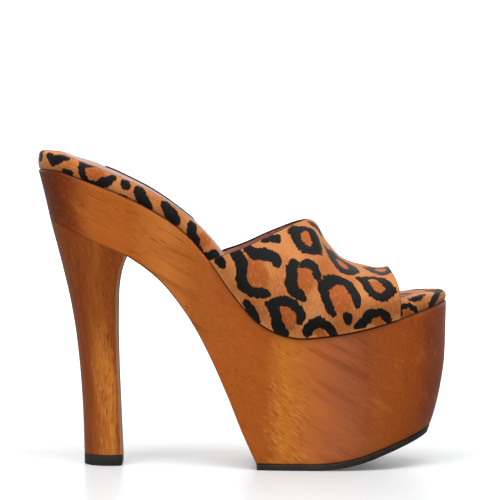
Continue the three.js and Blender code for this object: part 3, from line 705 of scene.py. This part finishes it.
# Leopard print: each mark is a brush line of (along, drop, half width) points. Those of the top
# at the toe are (x, y, half width) in plan. A heart is (along, drop, half length, half width).
UNMARKED = 30.0  # distance from a mark that counts as none near
FAR_SHIFT = 5  # the inner side repeats the outer side's marks, moved by this
TOE_PRINT_START = 170
BED_MARKS = [
    [(8, 0.5, 2.8), (8.5, 2.5, 3)],
    [(17, 1, 2), (22, 3.5, 3), (26, 1.5, 2.6), (30, -0.5, 1.5)],
    [(31.5, 6.5, 1.8), (34.5, 6.5, 1.6), (36.5, 7.5, 0.6)],
    [(44, -1.5, 1.2), (39.5, -1, 2.2), (39.5, 2, 2.1), (41, 5, 1.8), (44, 7.5, 1.2), (49.5, 7.5, 1.6)],
    [(49.5, 7.5, 1.6), (52.5, 5.5, 3), (55, 3.5, 2.8), (57, 0.5, 1.9)],
    [(64, 1, 2.7), (65, 2, 2.6)],
    [(63.5, 8.1, 0.6), (67, 7.6, 0.9), (69.5, 7.9, 0.5)],
    [(72.5, 1.5, 3.2), (75, 4, 3.5), (80, 6, 2.3), (83, 6.5, 1)],
    [(88.5, 1, 2.8), (92.5, 3, 3.4), (97.5, 4.5, 3.2), (100, 5, 1.5)],
    [(106.5, 1, 2.8), (109, 4, 3), (113.5, 5.5, 2.4), (117, 7, 1.6), (122, 7.5, 1.2)],
    [(122, 7.5, 1.2), (126, 5, 2), (126.5, 2.5, 2.6), (129, 1.5, 1.9)],
    [(239.5, 6, 1.7), (240, 3.5, 1.5), (243, 2.5, 1.4), (246, 3, 1.5), (249, 5, 1.5), (251, 7, 1.1)],
    [(262, 5, 1.7), (265.5, 3, 2.5), (269, 1, 1.9), (272, -1, 1.9)],
    [(247, -0.6, 0.8), (248.5, 0.2, 1.1), (251, 0.5, 1.4), (254, 0, 1.6), (257.5, -2, 1.7), (260, -4, 1.5)],
]
BED_HEARTS = [(47.5, 1.5, 5, 4.5), (116.5, 1.5, 4, 4), (244.5, 6, 3, 2)]
# BEAD_MARK is one black line along the inner rim at the arch, drawn in the same way as the marks.
BEAD_MARK = [(along, -2, 1.2) for along in (-49, -60, -70, -80, -95, -110)]
TOE_MARKS = [
    [(197, -17, 1.4), (198, -23, 1.6), (201, -26.5, 1.8), (204, -25, 2.1), (206, -17, 2.6), (206, -9, 2.4)],
    [(214, -12, 2.4), (215.5, -4, 2.6), (214.5, 6, 2.8), (211, 14, 2.6)],
    [(186, 6, 2.4), (189, 0, 2.8), (194, -2, 2.8), (198, 2, 2.6)],
    [(187, 14, 2.6), (191, 18, 2.8), (197, 17, 2.6), (200, 11, 2.4)],
    [(207, 24, 2.4), (203, 29, 2.6)],
    [(190, -14, 2.4), (185, -10, 2.6)],
]


def print_distance(places, marks):
    """Distance of each place from the nearest mark's edge, negative inside it."""
    nearest = np.full(len(places), UNMARKED)
    for mark in marks:
        line = np.array(mark, float)
        for start, end in zip(line[:-1], line[1:]):
            run = end[:2] - start[:2]
            share = np.clip(((places - start[:2]) @ run) / (run @ run), 0, 1)
            away = np.hypot(*(places - start[:2] - share[:, None] * run).T)
            nearest = np.minimum(nearest, away - (start[2] + share * (end[2] - start[2])))
    return nearest


def print_hearts(places, hearts):
    """How far each place lies in a rosette's darker middle, from 0 to 1."""
    inside = np.zeros(len(places))
    for along, across, long, wide in hearts:
        reach = np.hypot((places[:, 0] - along) / long, (places[:, 1] - across) / wide)
        inside = np.maximum(inside, np.clip((1.25 - reach) / 0.5, 0, 1))
    return inside


def calf_hair():
    finish = Finish("calf_hair", Sheen_Weight=0.06, Sheen_Roughness=0.45, Specular_IOR_Level=0.2)
    spots = finish.node("ShaderNodeAttribute", {"attribute_name": "spots"}, output=2)
    hearts = finish.node("ShaderNodeAttribute", {"attribute_name": "hearts"}, output=2)
    here = finish.place()
    hair = finish.place((0, 0, 0), (3.5, 3.5, 1))
    ragged = (finish.noise(hair, 210, 1.0) - 0.5) * 2.2 + (finish.noise(here, 900, 1.0) - 0.5) * 0.8
    black = (spots + ragged).step(0.22, -0.22)
    strands = finish.noise(hair, 420, 3.0, 0.6)
    clouds = finish.noise(here, 55, 3.0, 0.5)
    tan = finish.mix(tone(188, 106, 48), tone(210, 134, 74), clouds.step(0.35, 0.7))
    rust = finish.mix(tan, tone(176, 88, 28), (hearts + (strands - 0.5) * 0.5).step(0.1, 0.9))
    rust = finish.mix(rust, tone(140, 74, 34), strands.step(0.5, 0.72) * 0.25)
    rust = finish.mix(rust, tone(236, 176, 120), strands.step(0.48, 0.26) * 0.4)
    ink = finish.mix(tone(9, 8, 7), tone(44, 40, 33), strands.step(0.5, 0.75) * 0.5)
    colour = finish.mix(rust, ink, black)
    inked = finish.node("ShaderNodeAttribute", {"attribute_name": "inked"}, output=2)
    colour = finish.mix(colour, tone(46, 26, 20), inked)
    return finish.finished(colour, strands * 0.2 + 0.55, strands, 0.0003, 0.6)


hide = calf_hair()
bed_points = mesh_points(bed)
bed_places = rim_coordinates(bed_points)
bed_x, bed_y, bed_z = bed_points.T
from_rim = -bed_places[:, 1]
along_bead = np.clip(np.minimum(bed_x - BEAD_START, BEAD_END - bed_x) / BEAD_FADE, 0, 1) * (bed_y > 0)
across_bead = np.clip(np.minimum(BEAD_FAR - from_rim, from_rim - BEAD_NEAR) / BEAD_ROUND, 0, 1)
thick_share = np.clip((bed_z - wood_top(bed_x)) / (footbed_rim(bed_x) - wood_top(bed_x)), 0, 1)
bed_points[:, 2] += BEAD_HEIGHT * (along_bead * across_bead) ** 2 - pressed(bed_x, bed_y) * thick_share
bed.data.vertices.foreach_set("co", ((bed_points - np.array([CENTRE_X, 0, 0])) * MM).ravel())
bed.data.update()
far_marks = [[(-FAR_SHIFT - along, drop, half) for along, drop, half in mark] for mark in BED_MARKS]
far_hearts = [(-FAR_SHIFT - along, drop, long, wide) for along, drop, long, wide in BED_HEARTS]
on_toe = (bed_points[:, 0] > TOE_PRINT_START) & (from_rim > 0)
toe_spots = np.where(on_toe, print_distance(bed_points[:, :2], TOE_MARKS), UNMARKED)
rim_spots = print_distance(bed_places, BED_MARKS + far_marks + [BEAD_MARK])
store(bed, "spots", np.minimum(rim_spots, toe_spots))
store(bed, "hearts", print_hearts(bed_places, BED_HEARTS + far_hearts))
bed.data.materials.append(hide)
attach(bed, "root")
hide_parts("footbed")

# Sock
# A thin pinkish leather sock, glued on the footbed from behind the heel to under the vamp. It is
# backed on the seat and skived thin towards its inner edge.
SOCK_THICKNESS, SOCK_EDGE, SOCK_SKIVE, THINNEST = 0.5, 3.4, 8, 0.2
SOCK_BACK, SOCK_LENGTH, SOCK_ROUND = 12, 168, 22
BACKED_FULLNESS, BACKED_END = 1.6, 35


def sock_leather(name, light, dark):
    finish = Finish(name, Specular_IOR_Level=0.4)
    here = finish.place()
    grain = finish.node("ShaderNodeTexVoronoi", None, {"Vector": here, "Scale": 1300.0})
    wear = finish.noise(here, 45, 3.0, 0.6)
    colour = finish.mix(light, dark, wear.step(0.35, 0.75))
    colour = finish.mix(colour, tone(110, 70, 62), grain.step(0.5, 0.8) * 0.3)
    return finish.finished(colour, wear * 0.15 + 0.45, grain * -1, 0.00008, 0.5)


sock_stations = spaced(
    (SOCK_BACK, SOCK_BACK + SOCK_ROUND, 0.8, "in"),
    (SOCK_BACK + SOCK_ROUND, SOCK_BACK + SOCK_LENGTH, 1.2, ""),
)
sock_middle = (edge_y(sock_stations, -1) + edge_y(sock_stations, 1)) / 2
sock_turn = np.sqrt(1 - np.maximum(0, 1 - (sock_stations - SOCK_BACK) / SOCK_ROUND) ** 2)
sock_half = np.abs(edge_y(sock_stations, 1) - sock_middle) - SOCK_EDGE
sock_plan = tuple(
    np.column_stack([sock_stations, sock_middle + side * sock_half * sock_turn, 0 * sock_stations])
    for side in (-1, 1)
)


def sock_bed(x, y):
    return footbed_top(x, y) - pressed(x, y) + HAIRLINE


def sock_top(x, y):
    skive = np.clip((edge_y(x, 1) - SOCK_EDGE - y) / SOCK_SKIVE, THINNEST, 1)
    backed = np.clip((BACKED_END - x) / BEAD_FADE, 0, 1)
    return sock_bed(x, y) + SOCK_THICKNESS * (skive + (BACKED_FULLNESS - skive) * backed)


sock_levels = [
    at_height(sock_plan, sock_bed),
    at_height(sock_plan, lambda x, y: sock_bed(x, y) * 0.4 + sock_top(x, y) * 0.6),
    at_height(inset(sock_plan, 0.4), sock_top),
]
sock = stacked("leather_sock", sock_levels, sock_bed, sock_top, steps=40)
sock.data.materials.append(sock_leather("sock_leather", tone(182, 142, 130), tone(164, 122, 112)))
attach(sock, "root")
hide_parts("sock_lining")

# Vamp
# One band of the same printed calf hair, lined with thin leather, its cut edges inked dark. It is
# lasted over the foot and drawn down between the footbed and the wood.
UPPER_WALL, UPPER_BULGE = 1.5, 1.1
INSTEP_HEIGHT, TOE_BOX_HEIGHT = 61.4, 28
THROAT_BACK, THROAT_TOP = 92.7, 145.4
TOE_OPENING, TOE_SCOOP = 193.5, 5.2
RIDGE_SWING, SPRING_SHARE = 3, 0.84
SPRING_LINES, RIDGE_LINES = 15, 229
HIDE_SHARE, LINING_START, LINING_END = 0.72, 0.74, 0.98  # of the wall, from outside
CUT_EDGE_POINTS = 5
RIDGE = {
    "along": [0.42, 0.545, 0.6, 0.637, 0.661, 0.673, 0.684, 0.7, 0.72, 0.739, 0.77, 0.8, 0.85, 0.9],
    "instep": [0.72, 1.05, 1.055, 1.02, 1, 0.98, 0.93, 0.74, 0.52, 0.36, 0.17, 0.07, 0, 0],
    "toe_box": [0, 0, 0, 0, 0, 0, 0.02, 0.19, 0.44, 0.61, 0.86, 0.97, 0.985, 0.83],
    "fullness": [2, 2, 2, 2, 2, 2.02, 2.05, 2.08, 2.12, 2.16, 2.25, 2.35, 2.5, 2.6],
}
THROAT = {
    "along": [-0.1, 0, 0.12, 0.34, 0.62, 0.8, 0.92, 1, 1.1],
    "rise": [-0.13, 0, 0.135, 0.33, 0.65, 0.84, 0.955, 1, 1.03],
}
instep_share = curve(RIDGE, "along", "instep")
toe_box_share = curve(RIDGE, "along", "toe_box")
fullness = curve(RIDGE, "along", "fullness")
throat_rise = curve(THROAT, "along", "rise")


def vamp_point(x, across):
    """Outside of the vamp: across is -1 at the outer edge of the sole, 0 on the ridge, 1 inside."""
    side = np.where(across < 0, -1, 1)
    reach = np.abs(across)
    foot = wood_top(x) + GAP
    spring = footbed_rim(x) - FOOTBED_EDGE / 2
    ridge = wood_top(x) + instep_share(x / LENGTH) * INSTEP_HEIGHT
    ridge = ridge + toe_box_share(x / LENGTH) * TOE_BOX_HEIGHT
    edge = edge_y(x, side) + side * (UPPER_WALL + GAP - FOOTBED_INSET)
    up = np.clip((1 - reach) / (1 - SPRING_SHARE), 0, 1)
    turn = np.clip(1 - reach / SPRING_SHARE, 0, 1) * math.pi / 2
    power = 2 / fullness(x / LENGTH)
    middle = (edge_y(x, -1) + edge_y(x, 1)) / 2 + RIDGE_SWING
    wide, tall = np.cos(turn) ** power, np.sin(turn) ** power
    low = reach >= SPRING_SHARE
    y = np.where(
        low,
        edge + side * UPPER_BULGE * np.sin(up * math.pi / 2) ** 2,
        middle + (edge + side * UPPER_BULGE - middle) * wide,
    )
    z = np.where(low, foot + (spring - foot) * up, spring + (ridge - spring) * tall)
    return np.stack([x + 0 * across, y, z], -1)


def throat_x(across):
    """Where the top line leaves each strip of the vamp, found by halving."""
    base = wood_top(THROAT_BACK) + GAP
    height = wood_top(THROAT_TOP) + INSTEP_HEIGHT - base
    low = np.full(across.shape, THROAT_BACK - (THROAT_TOP - THROAT_BACK) * 0.1)
    high = np.full(across.shape, THROAT_TOP + (THROAT_TOP - THROAT_BACK) * 0.1)
    for _ in range(40):
        middle = (low + high) / 2
        line = base + height * throat_rise((middle - THROAT_BACK) / (THROAT_TOP - THROAT_BACK))
        above = vamp_point(middle, across)[..., 2] > line
        low, high = np.where(above, middle, low), np.where(above, high, middle)
    return (low + high) / 2


def opening_x(across):
    top = vamp_point(np.full(across.shape, float(TOE_OPENING)), across)[..., 2]
    foot = wood_top(TOE_OPENING) + GAP
    share = (top - foot) / (vamp_point(np.array(float(TOE_OPENING)), np.array(0.0))[2] - foot)
    return TOE_OPENING - TOE_SCOOP * share**4


lines = np.concatenate(
    [
        np.linspace(-1, -SPRING_SHARE, SPRING_LINES)[:-1],
        np.linspace(-SPRING_SHARE, SPRING_SHARE, RIDGE_LINES),
        np.linspace(SPRING_SHARE, 1, SPRING_LINES)[1:],
    ]
)


def vamp_grid(depth, share):
    """Points of the vamp at a depth below its outside, for each line across and share along."""
    start, end = throat_x(lines), opening_x(lines)
    x = start[:, None] + (end - start)[:, None] * share[None, :]
    across = np.broadcast_to(lines[:, None], x.shape)
    point = vamp_point(x, across)
    sideways = vamp_point(x, np.minimum(1, across + 0.01)) - vamp_point(x, np.maximum(-1, across - 0.01))
    forward = vamp_point(x + 0.5, across) - vamp_point(x - 0.5, across)
    out = np.cross(forward, sideways)
    out /= np.linalg.norm(out, axis=-1, keepdims=True)
    ahead = forward / np.linalg.norm(forward, axis=-1, keepdims=True)
    return point - out * np.asarray(depth).reshape(1, -1, 1), ahead


def vamp_shell(name, outside, inside, steps, shy=0.0):
    """Closed sheet between two depths of the vamp, with rounded cut edges."""
    half = (inside - outside) / 2
    span = np.linspace(shy, 1 - shy, steps)
    turn = np.linspace(0, math.pi, CUT_EDGE_POINTS + 2)[1:-1]
    level = np.full(steps, outside)
    bend = half * (1 - np.cos(turn))
    share = np.concatenate([span, 0 * turn + 1 - shy, span[::-1], 0 * turn + shy])
    depth = np.concatenate([level, outside + bend, 0 * level + inside, inside - bend])
    push = np.concatenate([0 * span, half * np.sin(turn), 0 * span, -half * np.sin(turn)])
    grid, ahead = vamp_grid(depth, share)
    grid = grid + ahead * push[None, :, None]
    inked = np.concatenate([0 * span, np.sin(turn) + 0.4, 0 * span + 1, np.sin(turn) + 0.4, [0]])
    inked = np.broadcast_to(np.minimum(1, inked), (len(lines), len(inked)))
    width = steps + CUT_EDGE_POINTS + 1
    rolled = np.roll(grid, (CUT_EDGE_POINTS + 1) // 2, axis=1)
    over, under = rolled[:, :width], np.roll(rolled[:, ::-1], 1, axis=1)[:, :width]
    loop = np.concatenate([grid, grid[:, :1]], 1)
    low, high = (np.stack([over[i], under[i]]) for i in (0, -1))
    flat = np.zeros(low.shape[:2])
    values = np.concatenate([inked.ravel(), flat.ravel(), flat.ravel()])
    return made(name, [(loop, False), (low, True), (high, False)], values)


vamp = vamp_shell("vamp", 0, UPPER_WALL * HIDE_SHARE, 150)
lining = vamp_shell("vamp_lining", UPPER_WALL * LINING_START, UPPER_WALL * LINING_END, 50, 0.006)

# The vamp's print is laid out from the ridge: along is the shoe's length, round is the way down
# the section from the ridge, negative on the outer side. A section is measured at each mm.
PRINT_START, PRINT_END, SECTION_POINTS = 85, 196, 401


def vamp_coordinates(points):
    """Print coordinates (along, round) of points of the vamp, in mm."""
    x = np.arange(PRINT_START, PRINT_END + 1.0)
    section = vamp_point(*np.meshgrid(x, np.linspace(-1, 1, SECTION_POINTS), indexing="ij"))
    run = np.linalg.norm(np.diff(section, axis=1), axis=2)
    length = np.concatenate([np.zeros((len(x), 1)), np.cumsum(run, 1)], 1)
    length -= length[:, [SECTION_POINTS // 2]]
    row = np.clip(np.round(points[:, 0] - PRINT_START).astype(int), 0, len(x) - 1)
    around = np.empty(len(points))
    for start in range(0, len(points), BATCH):
        part = slice(start, start + BATCH)
        away = section[row[part], :, 1:] - points[part, None, 1:]
        nearest = (away**2).sum(2).argmin(1)
        around[part] = length[row[part], nearest]
        step = np.clip(nearest, 1, SECTION_POINTS - 2)
        tangent = section[row[part], step + 1, 1:] - section[row[part], step - 1, 1:]
        tangent /= np.linalg.norm(tangent, axis=1, keepdims=True)
        away = points[part, 1:] - section[row[part], nearest, 1:]
        around[part] += (away * tangent).sum(1)
    return np.column_stack([points[:, 0], around])


TURN_ABOUT = 289  # the inner side repeats the outer side's marks, turned
REPEAT_FROM = 28  # those that lie further than this down from the ridge
VAMP_MARKS = [
    [(98, -58, 3), (98, -59.5, 3)],
    [(97.5, -68, 0.9), (101, -71, 1.1), (105, -75, 1), (109, -79, 0.6)],
    [(107, -51.5, 3.7), (109.5, -55, 3.6), (109.5, -59.5, 3.2), (109, -64, 3.1), (110.5, -67, 3.6)],
    [(110.5, -67, 3.6), (113.5, -68.5, 3.2), (118, -68, 2.9), (122.5, -66.5, 2.4)],
    [(113.5, -46.5, 3.4), (116, -48, 3.5), (119.5, -46.5, 3.2), (123, -45, 3.4)],
    [(123, -45, 3.4), (127, -45.5, 3.5), (128, -48.5, 2.5)],
    [(120, -39, 0.7), (124, -36, 1.6), (127.5, -34, 2.8), (129, -31.5, 1.2)],
    [(136.5, -26.5, 2.6), (139, -22, 3.2), (142.5, -19, 2), (146.5, -20.5, 2.4), (148.5, -25, 2.8)],
    [(148.5, -25, 2.8), (149.5, -30, 2.9), (149.5, -34, 2.8), (147, -36.5, 2.6), (143, -36, 2.8)],
    [(143, -36, 2.8), (140.5, -33, 2.9), (138.5, -30, 2.9), (138, -26, 3)],
    [(147, -10, 2.2), (149.5, -12, 3.4), (151.5, -15, 1.8)],
    [(137.5, -45.5, 2.6), (136, -49.5, 3.1), (136, -53.5, 3.2), (135.5, -58, 3.4), (137, -61.5, 3.6)],
    [(137, -61.5, 3.6), (140.5, -63, 3), (142.5, -64.5, 1.8)],
    [(141.5, -45.5, 1.9), (144, -44.5, 2.6), (147.5, -46, 2.8), (149.5, -48.5, 2.4), (149, -51, 2.2)],
    [(152.5, -54.5, 3), (153, -56.5, 3.6), (153.8, -58.5, 3.9), (155, -60, 3.6), (156.5, -62, 2.9)],
    [(152.5, -54, 2.4), (154.5, -49, 2.4), (157.5, -43.5, 2.5), (162, -39.7, 2.9), (165, -40.7, 2.9)],
    [(165, -40.7, 2.9), (167.5, -44, 2.8), (169.3, -47.7, 2.5), (170, -50.5, 2.5), (170.5, -53.5, 1.7)],
    [(123, -72, 1.9), (125.5, -72.5, 3), (127.5, -76, 3.4), (128, -79.5, 3.2)],
    [(128, -79.5, 3.2), (129, -83, 3.8), (131.5, -85, 3)],
    [(126, -70.5, 2.4), (129.5, -68.5, 2.6), (133, -68, 2.9), (136.5, -68.5, 3), (139.5, -70.5, 2.9)],
    [(139.5, -70.5, 2.9), (141, -73.5, 2.4), (140, -76.5, 2.2)],
    [(144, -82, 3), (146, -78.5, 2.9), (149.5, -75.5, 2.4), (153.5, -72, 2.4)],
    [(153.5, -72, 2.4), (156.5, -72, 3.4), (158.5, -74, 3.1)],
    [(112.5, -76, 2.4), (114, -78, 3.1), (116.5, -81, 2.8), (118.5, -83, 1.4)],
    [(165.5, -60, 2.5), (165.5, -62, 2.5)],
    [(155, -22, 2), (157, -24, 3), (159.5, -28, 3), (163, -30.5, 3), (167, -29.5, 3.1), (169.5, -26, 2.9)],
    [(157, -22, 2.4), (160, -16, 2.6), (164, -15, 2.6), (168, -19, 2.9), (169.5, -26, 2.9)],
    [(175.5, -15, 1.8), (178, -17.5, 2.9), (181, -22, 2.9)],
    [(181, -22, 2.9), (185, -25, 3.1), (188.5, -22, 3.1), (190, -17, 2.6)],
    [(178, -15, 2.4), (180, -8, 2.4), (184.5, -5, 2.6), (188.5, -9, 2.6), (190, -17, 2.6)],
    [(171.5, -34.5, 1.9), (173.5, -35.5, 2.6), (175, -39.5, 2.4), (176.5, -43, 2.3), (178.5, -46, 2.3)],
    [(178.5, -46, 2.3), (181.5, -47.5, 2.4), (185, -47.5, 2.5), (187.5, -45, 2.9), (190, -42.5, 1.8)],
    [(173.5, -35.5, 2.6), (176, -33.5, 2.2), (177.5, -33, 1.4)],
    [(179.5, -32, 1.7), (183, -33, 2.3), (185.5, -37.5, 2.4), (188, -42, 2.6)],
    [(170, -65, 1.7), (173, -63, 2.5), (175.5, -60, 2.6), (177.5, -57, 2.5), (180.5, -56.5, 2.2)],
    [(180.5, -56.5, 2.2), (183, -55.5, 2.4), (185, -57, 2.6), (187, -59.5, 2.2), (187.5, -61, 1.7)],
]
VAMP_HEARTS = [
    (117, -58, 7, 8), (144, -28, 4, 7), (142.5, -54, 5, 8), (161, -49.5, 7, 10), (134, -76, 5, 7),
    (151, -80, 4, 4), (163, -22.5, 5, 6), (184, -15, 5, 7), (181, -41, 5, 5.5), (181, -60.5, 4, 3),
]
RIDGE_MARKS = [
    [(172, 16, 2.3), (175, 10, 2.7), (180, 8.5, 2.5), (184, 12, 2.5), (186, 18, 2.7), (183, 24, 2.3)],
    [(173, 22, 2.3), (177, 27, 2.7), (181, 28, 2)],
    [(157, 6, 2.3), (160, 1, 2.5), (165, 1, 2.7), (168, 6, 2.5)],
    [(159, 14, 2.3), (164, 16.5, 2.7), (168, 13, 2.3)],
    [(138, -2, 1.9), (142, 2, 2.5), (146, 1, 2)],
]
RIDGE_HEARTS = [(179, 18, 6, 8), (163, 9, 5, 6)]


def turned(place):
    return (TURN_ABOUT - place[0], -place[1], *place[2:])


low_marks = [mark for mark in VAMP_MARKS if max(place[1] for place in mark) < -REPEAT_FROM]
inner_marks = [[turned(place) for place in mark] for mark in low_marks]
inner_hearts = [turned(heart) for heart in VAMP_HEARTS if heart[1] < -REPEAT_FROM]
vamp_places = vamp_coordinates(mesh_points(vamp))
store(vamp, "spots", print_distance(vamp_places, VAMP_MARKS + inner_marks + RIDGE_MARKS))
store(vamp, "hearts", print_hearts(vamp_places, VAMP_HEARTS + inner_hearts + RIDGE_HEARTS))
vamp.data.materials.append(hide)
lining.data.materials.append(sock_leather("lining_leather", tone(206, 140, 128), tone(170, 104, 92)))
for piece, slot in ((vamp, "calf_hair"), (lining, "sock_leather")):
    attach(piece, "root")
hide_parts("upper")

# Stage
# A white table that runs into a lit white backdrop, with softboxes above and in front, and a long lens. The
# table glows with painted light, faint beside the shoe and full white towards the backdrop; it lights
# nothing else.
TABLE_HALF, TABLE_BACK = 4, 2.5
LENS_MM, CAMERA_PLACE, CAMERA_DIP = 248.55, (0.0002, -1.858, 0.213), 3.015


def sheet(name, corners, finish):
    mesh = bpy.data.meshes.new(name)
    mesh.from_pydata(corners, [], [(0, 1, 2, 3)])
    piece = bpy.data.objects.new(name, mesh)
    bpy.context.scene.collection.objects.link(piece)
    mesh.materials.append(finish.material)
    return piece


paper = Finish("white_paper", Roughness=0.3, Specular_IOR_Level=0.045, Emission_Strength=1.0)
# Painted light: the table's glow, faint near the shoe and rising to full white further back.
depth = paper.node("ShaderNodeSeparateXYZ", None, {0: paper.place()}, output=1)
painted_glow = paper.mix((0.08, 0.08, 0.08), (1, 1, 1), depth.step(0.15, 0.9))
paper.plug(paper.shader.inputs["Emission Color"], painted_glow)
paper.shader.inputs["Base Color"].default_value = (0.76, 0.79, 0.8, 1)
lit = Finish("lit_backdrop", Roughness=0.9, Emission_Strength=1.05)
lit.shader.inputs["Emission Color"].default_value = (1, 1, 1, 1)
front = [(x, -TABLE_HALF, 0) for x in (-TABLE_HALF, TABLE_HALF)]
seam = [(x, TABLE_BACK, 0) for x in (-TABLE_HALF, TABLE_HALF)]
above = [(x, TABLE_BACK, TABLE_HALF) for x in (TABLE_HALF, -TABLE_HALF)]
table = sheet("white_table", front + seam[::-1], paper)
table.visible_diffuse = False
table.visible_glossy = False
sheet("white_backdrop", seam + above, lit)

scene = bpy.context.scene
scene.view_settings.view_transform = "Standard"
scene.view_settings.look = "None"
world = bpy.data.worlds.new("studio")
world.use_nodes = True
sky = world.node_tree.nodes["Background"]
towards = world.node_tree.nodes.new("ShaderNodeTexCoord")
split = world.node_tree.nodes.new("ShaderNodeSeparateXYZ")
ramp = world.node_tree.nodes.new("ShaderNodeMapRange")
for socket, value in (("From Min", -0.35), ("From Max", 0.25), ("To Min", 0.22), ("To Max", 0.42)):
    ramp.inputs[socket].default_value = value
world.node_tree.links.new(towards.outputs["Generated"], split.inputs[0])
world.node_tree.links.new(split.outputs["Z"], ramp.inputs["Value"])
world.node_tree.links.new(ramp.outputs[0], sky.inputs["Strength"])
sky.inputs["Color"].default_value = (1, 1, 1, 1)
scene.world = world


def softbox(name, place, target, size, power):
    light = bpy.data.lights.new(name, "AREA")
    light.shape, light.size, light.size_y, light.energy = "RECTANGLE", size[0], size[1], power
    lamp = bpy.data.objects.new(name, light)
    lamp.location = place
    lamp.rotation_euler = (Vector(target) - Vector(place)).to_track_quat("-Z", "Y").to_euler()
    lamp.visible_camera = False
    scene.collection.objects.link(lamp)


softbox("overhead", (0.0, -0.6, 1.5), (0, 0, 0), (1.5, 0.9), 19)
softbox("front_left", (-0.7, -1.2, 0.7), (0, 0, 0.08), (0.6, 0.8), 4.5)
softbox("front_right", (0.9, -1.0, 0.6), (0, 0, 0.08), (0.5, 0.8), 2)

camera_data = bpy.data.cameras.new("camera")
camera_data.lens = LENS_MM
camera_data.clip_end = 50
camera = bpy.data.objects.new("camera", camera_data)
camera.location = CAMERA_PLACE
camera.rotation_euler = (math.radians(90 - CAMERA_DIP), 0, 0)
scene.collection.objects.link(camera)
scene.camera = camera
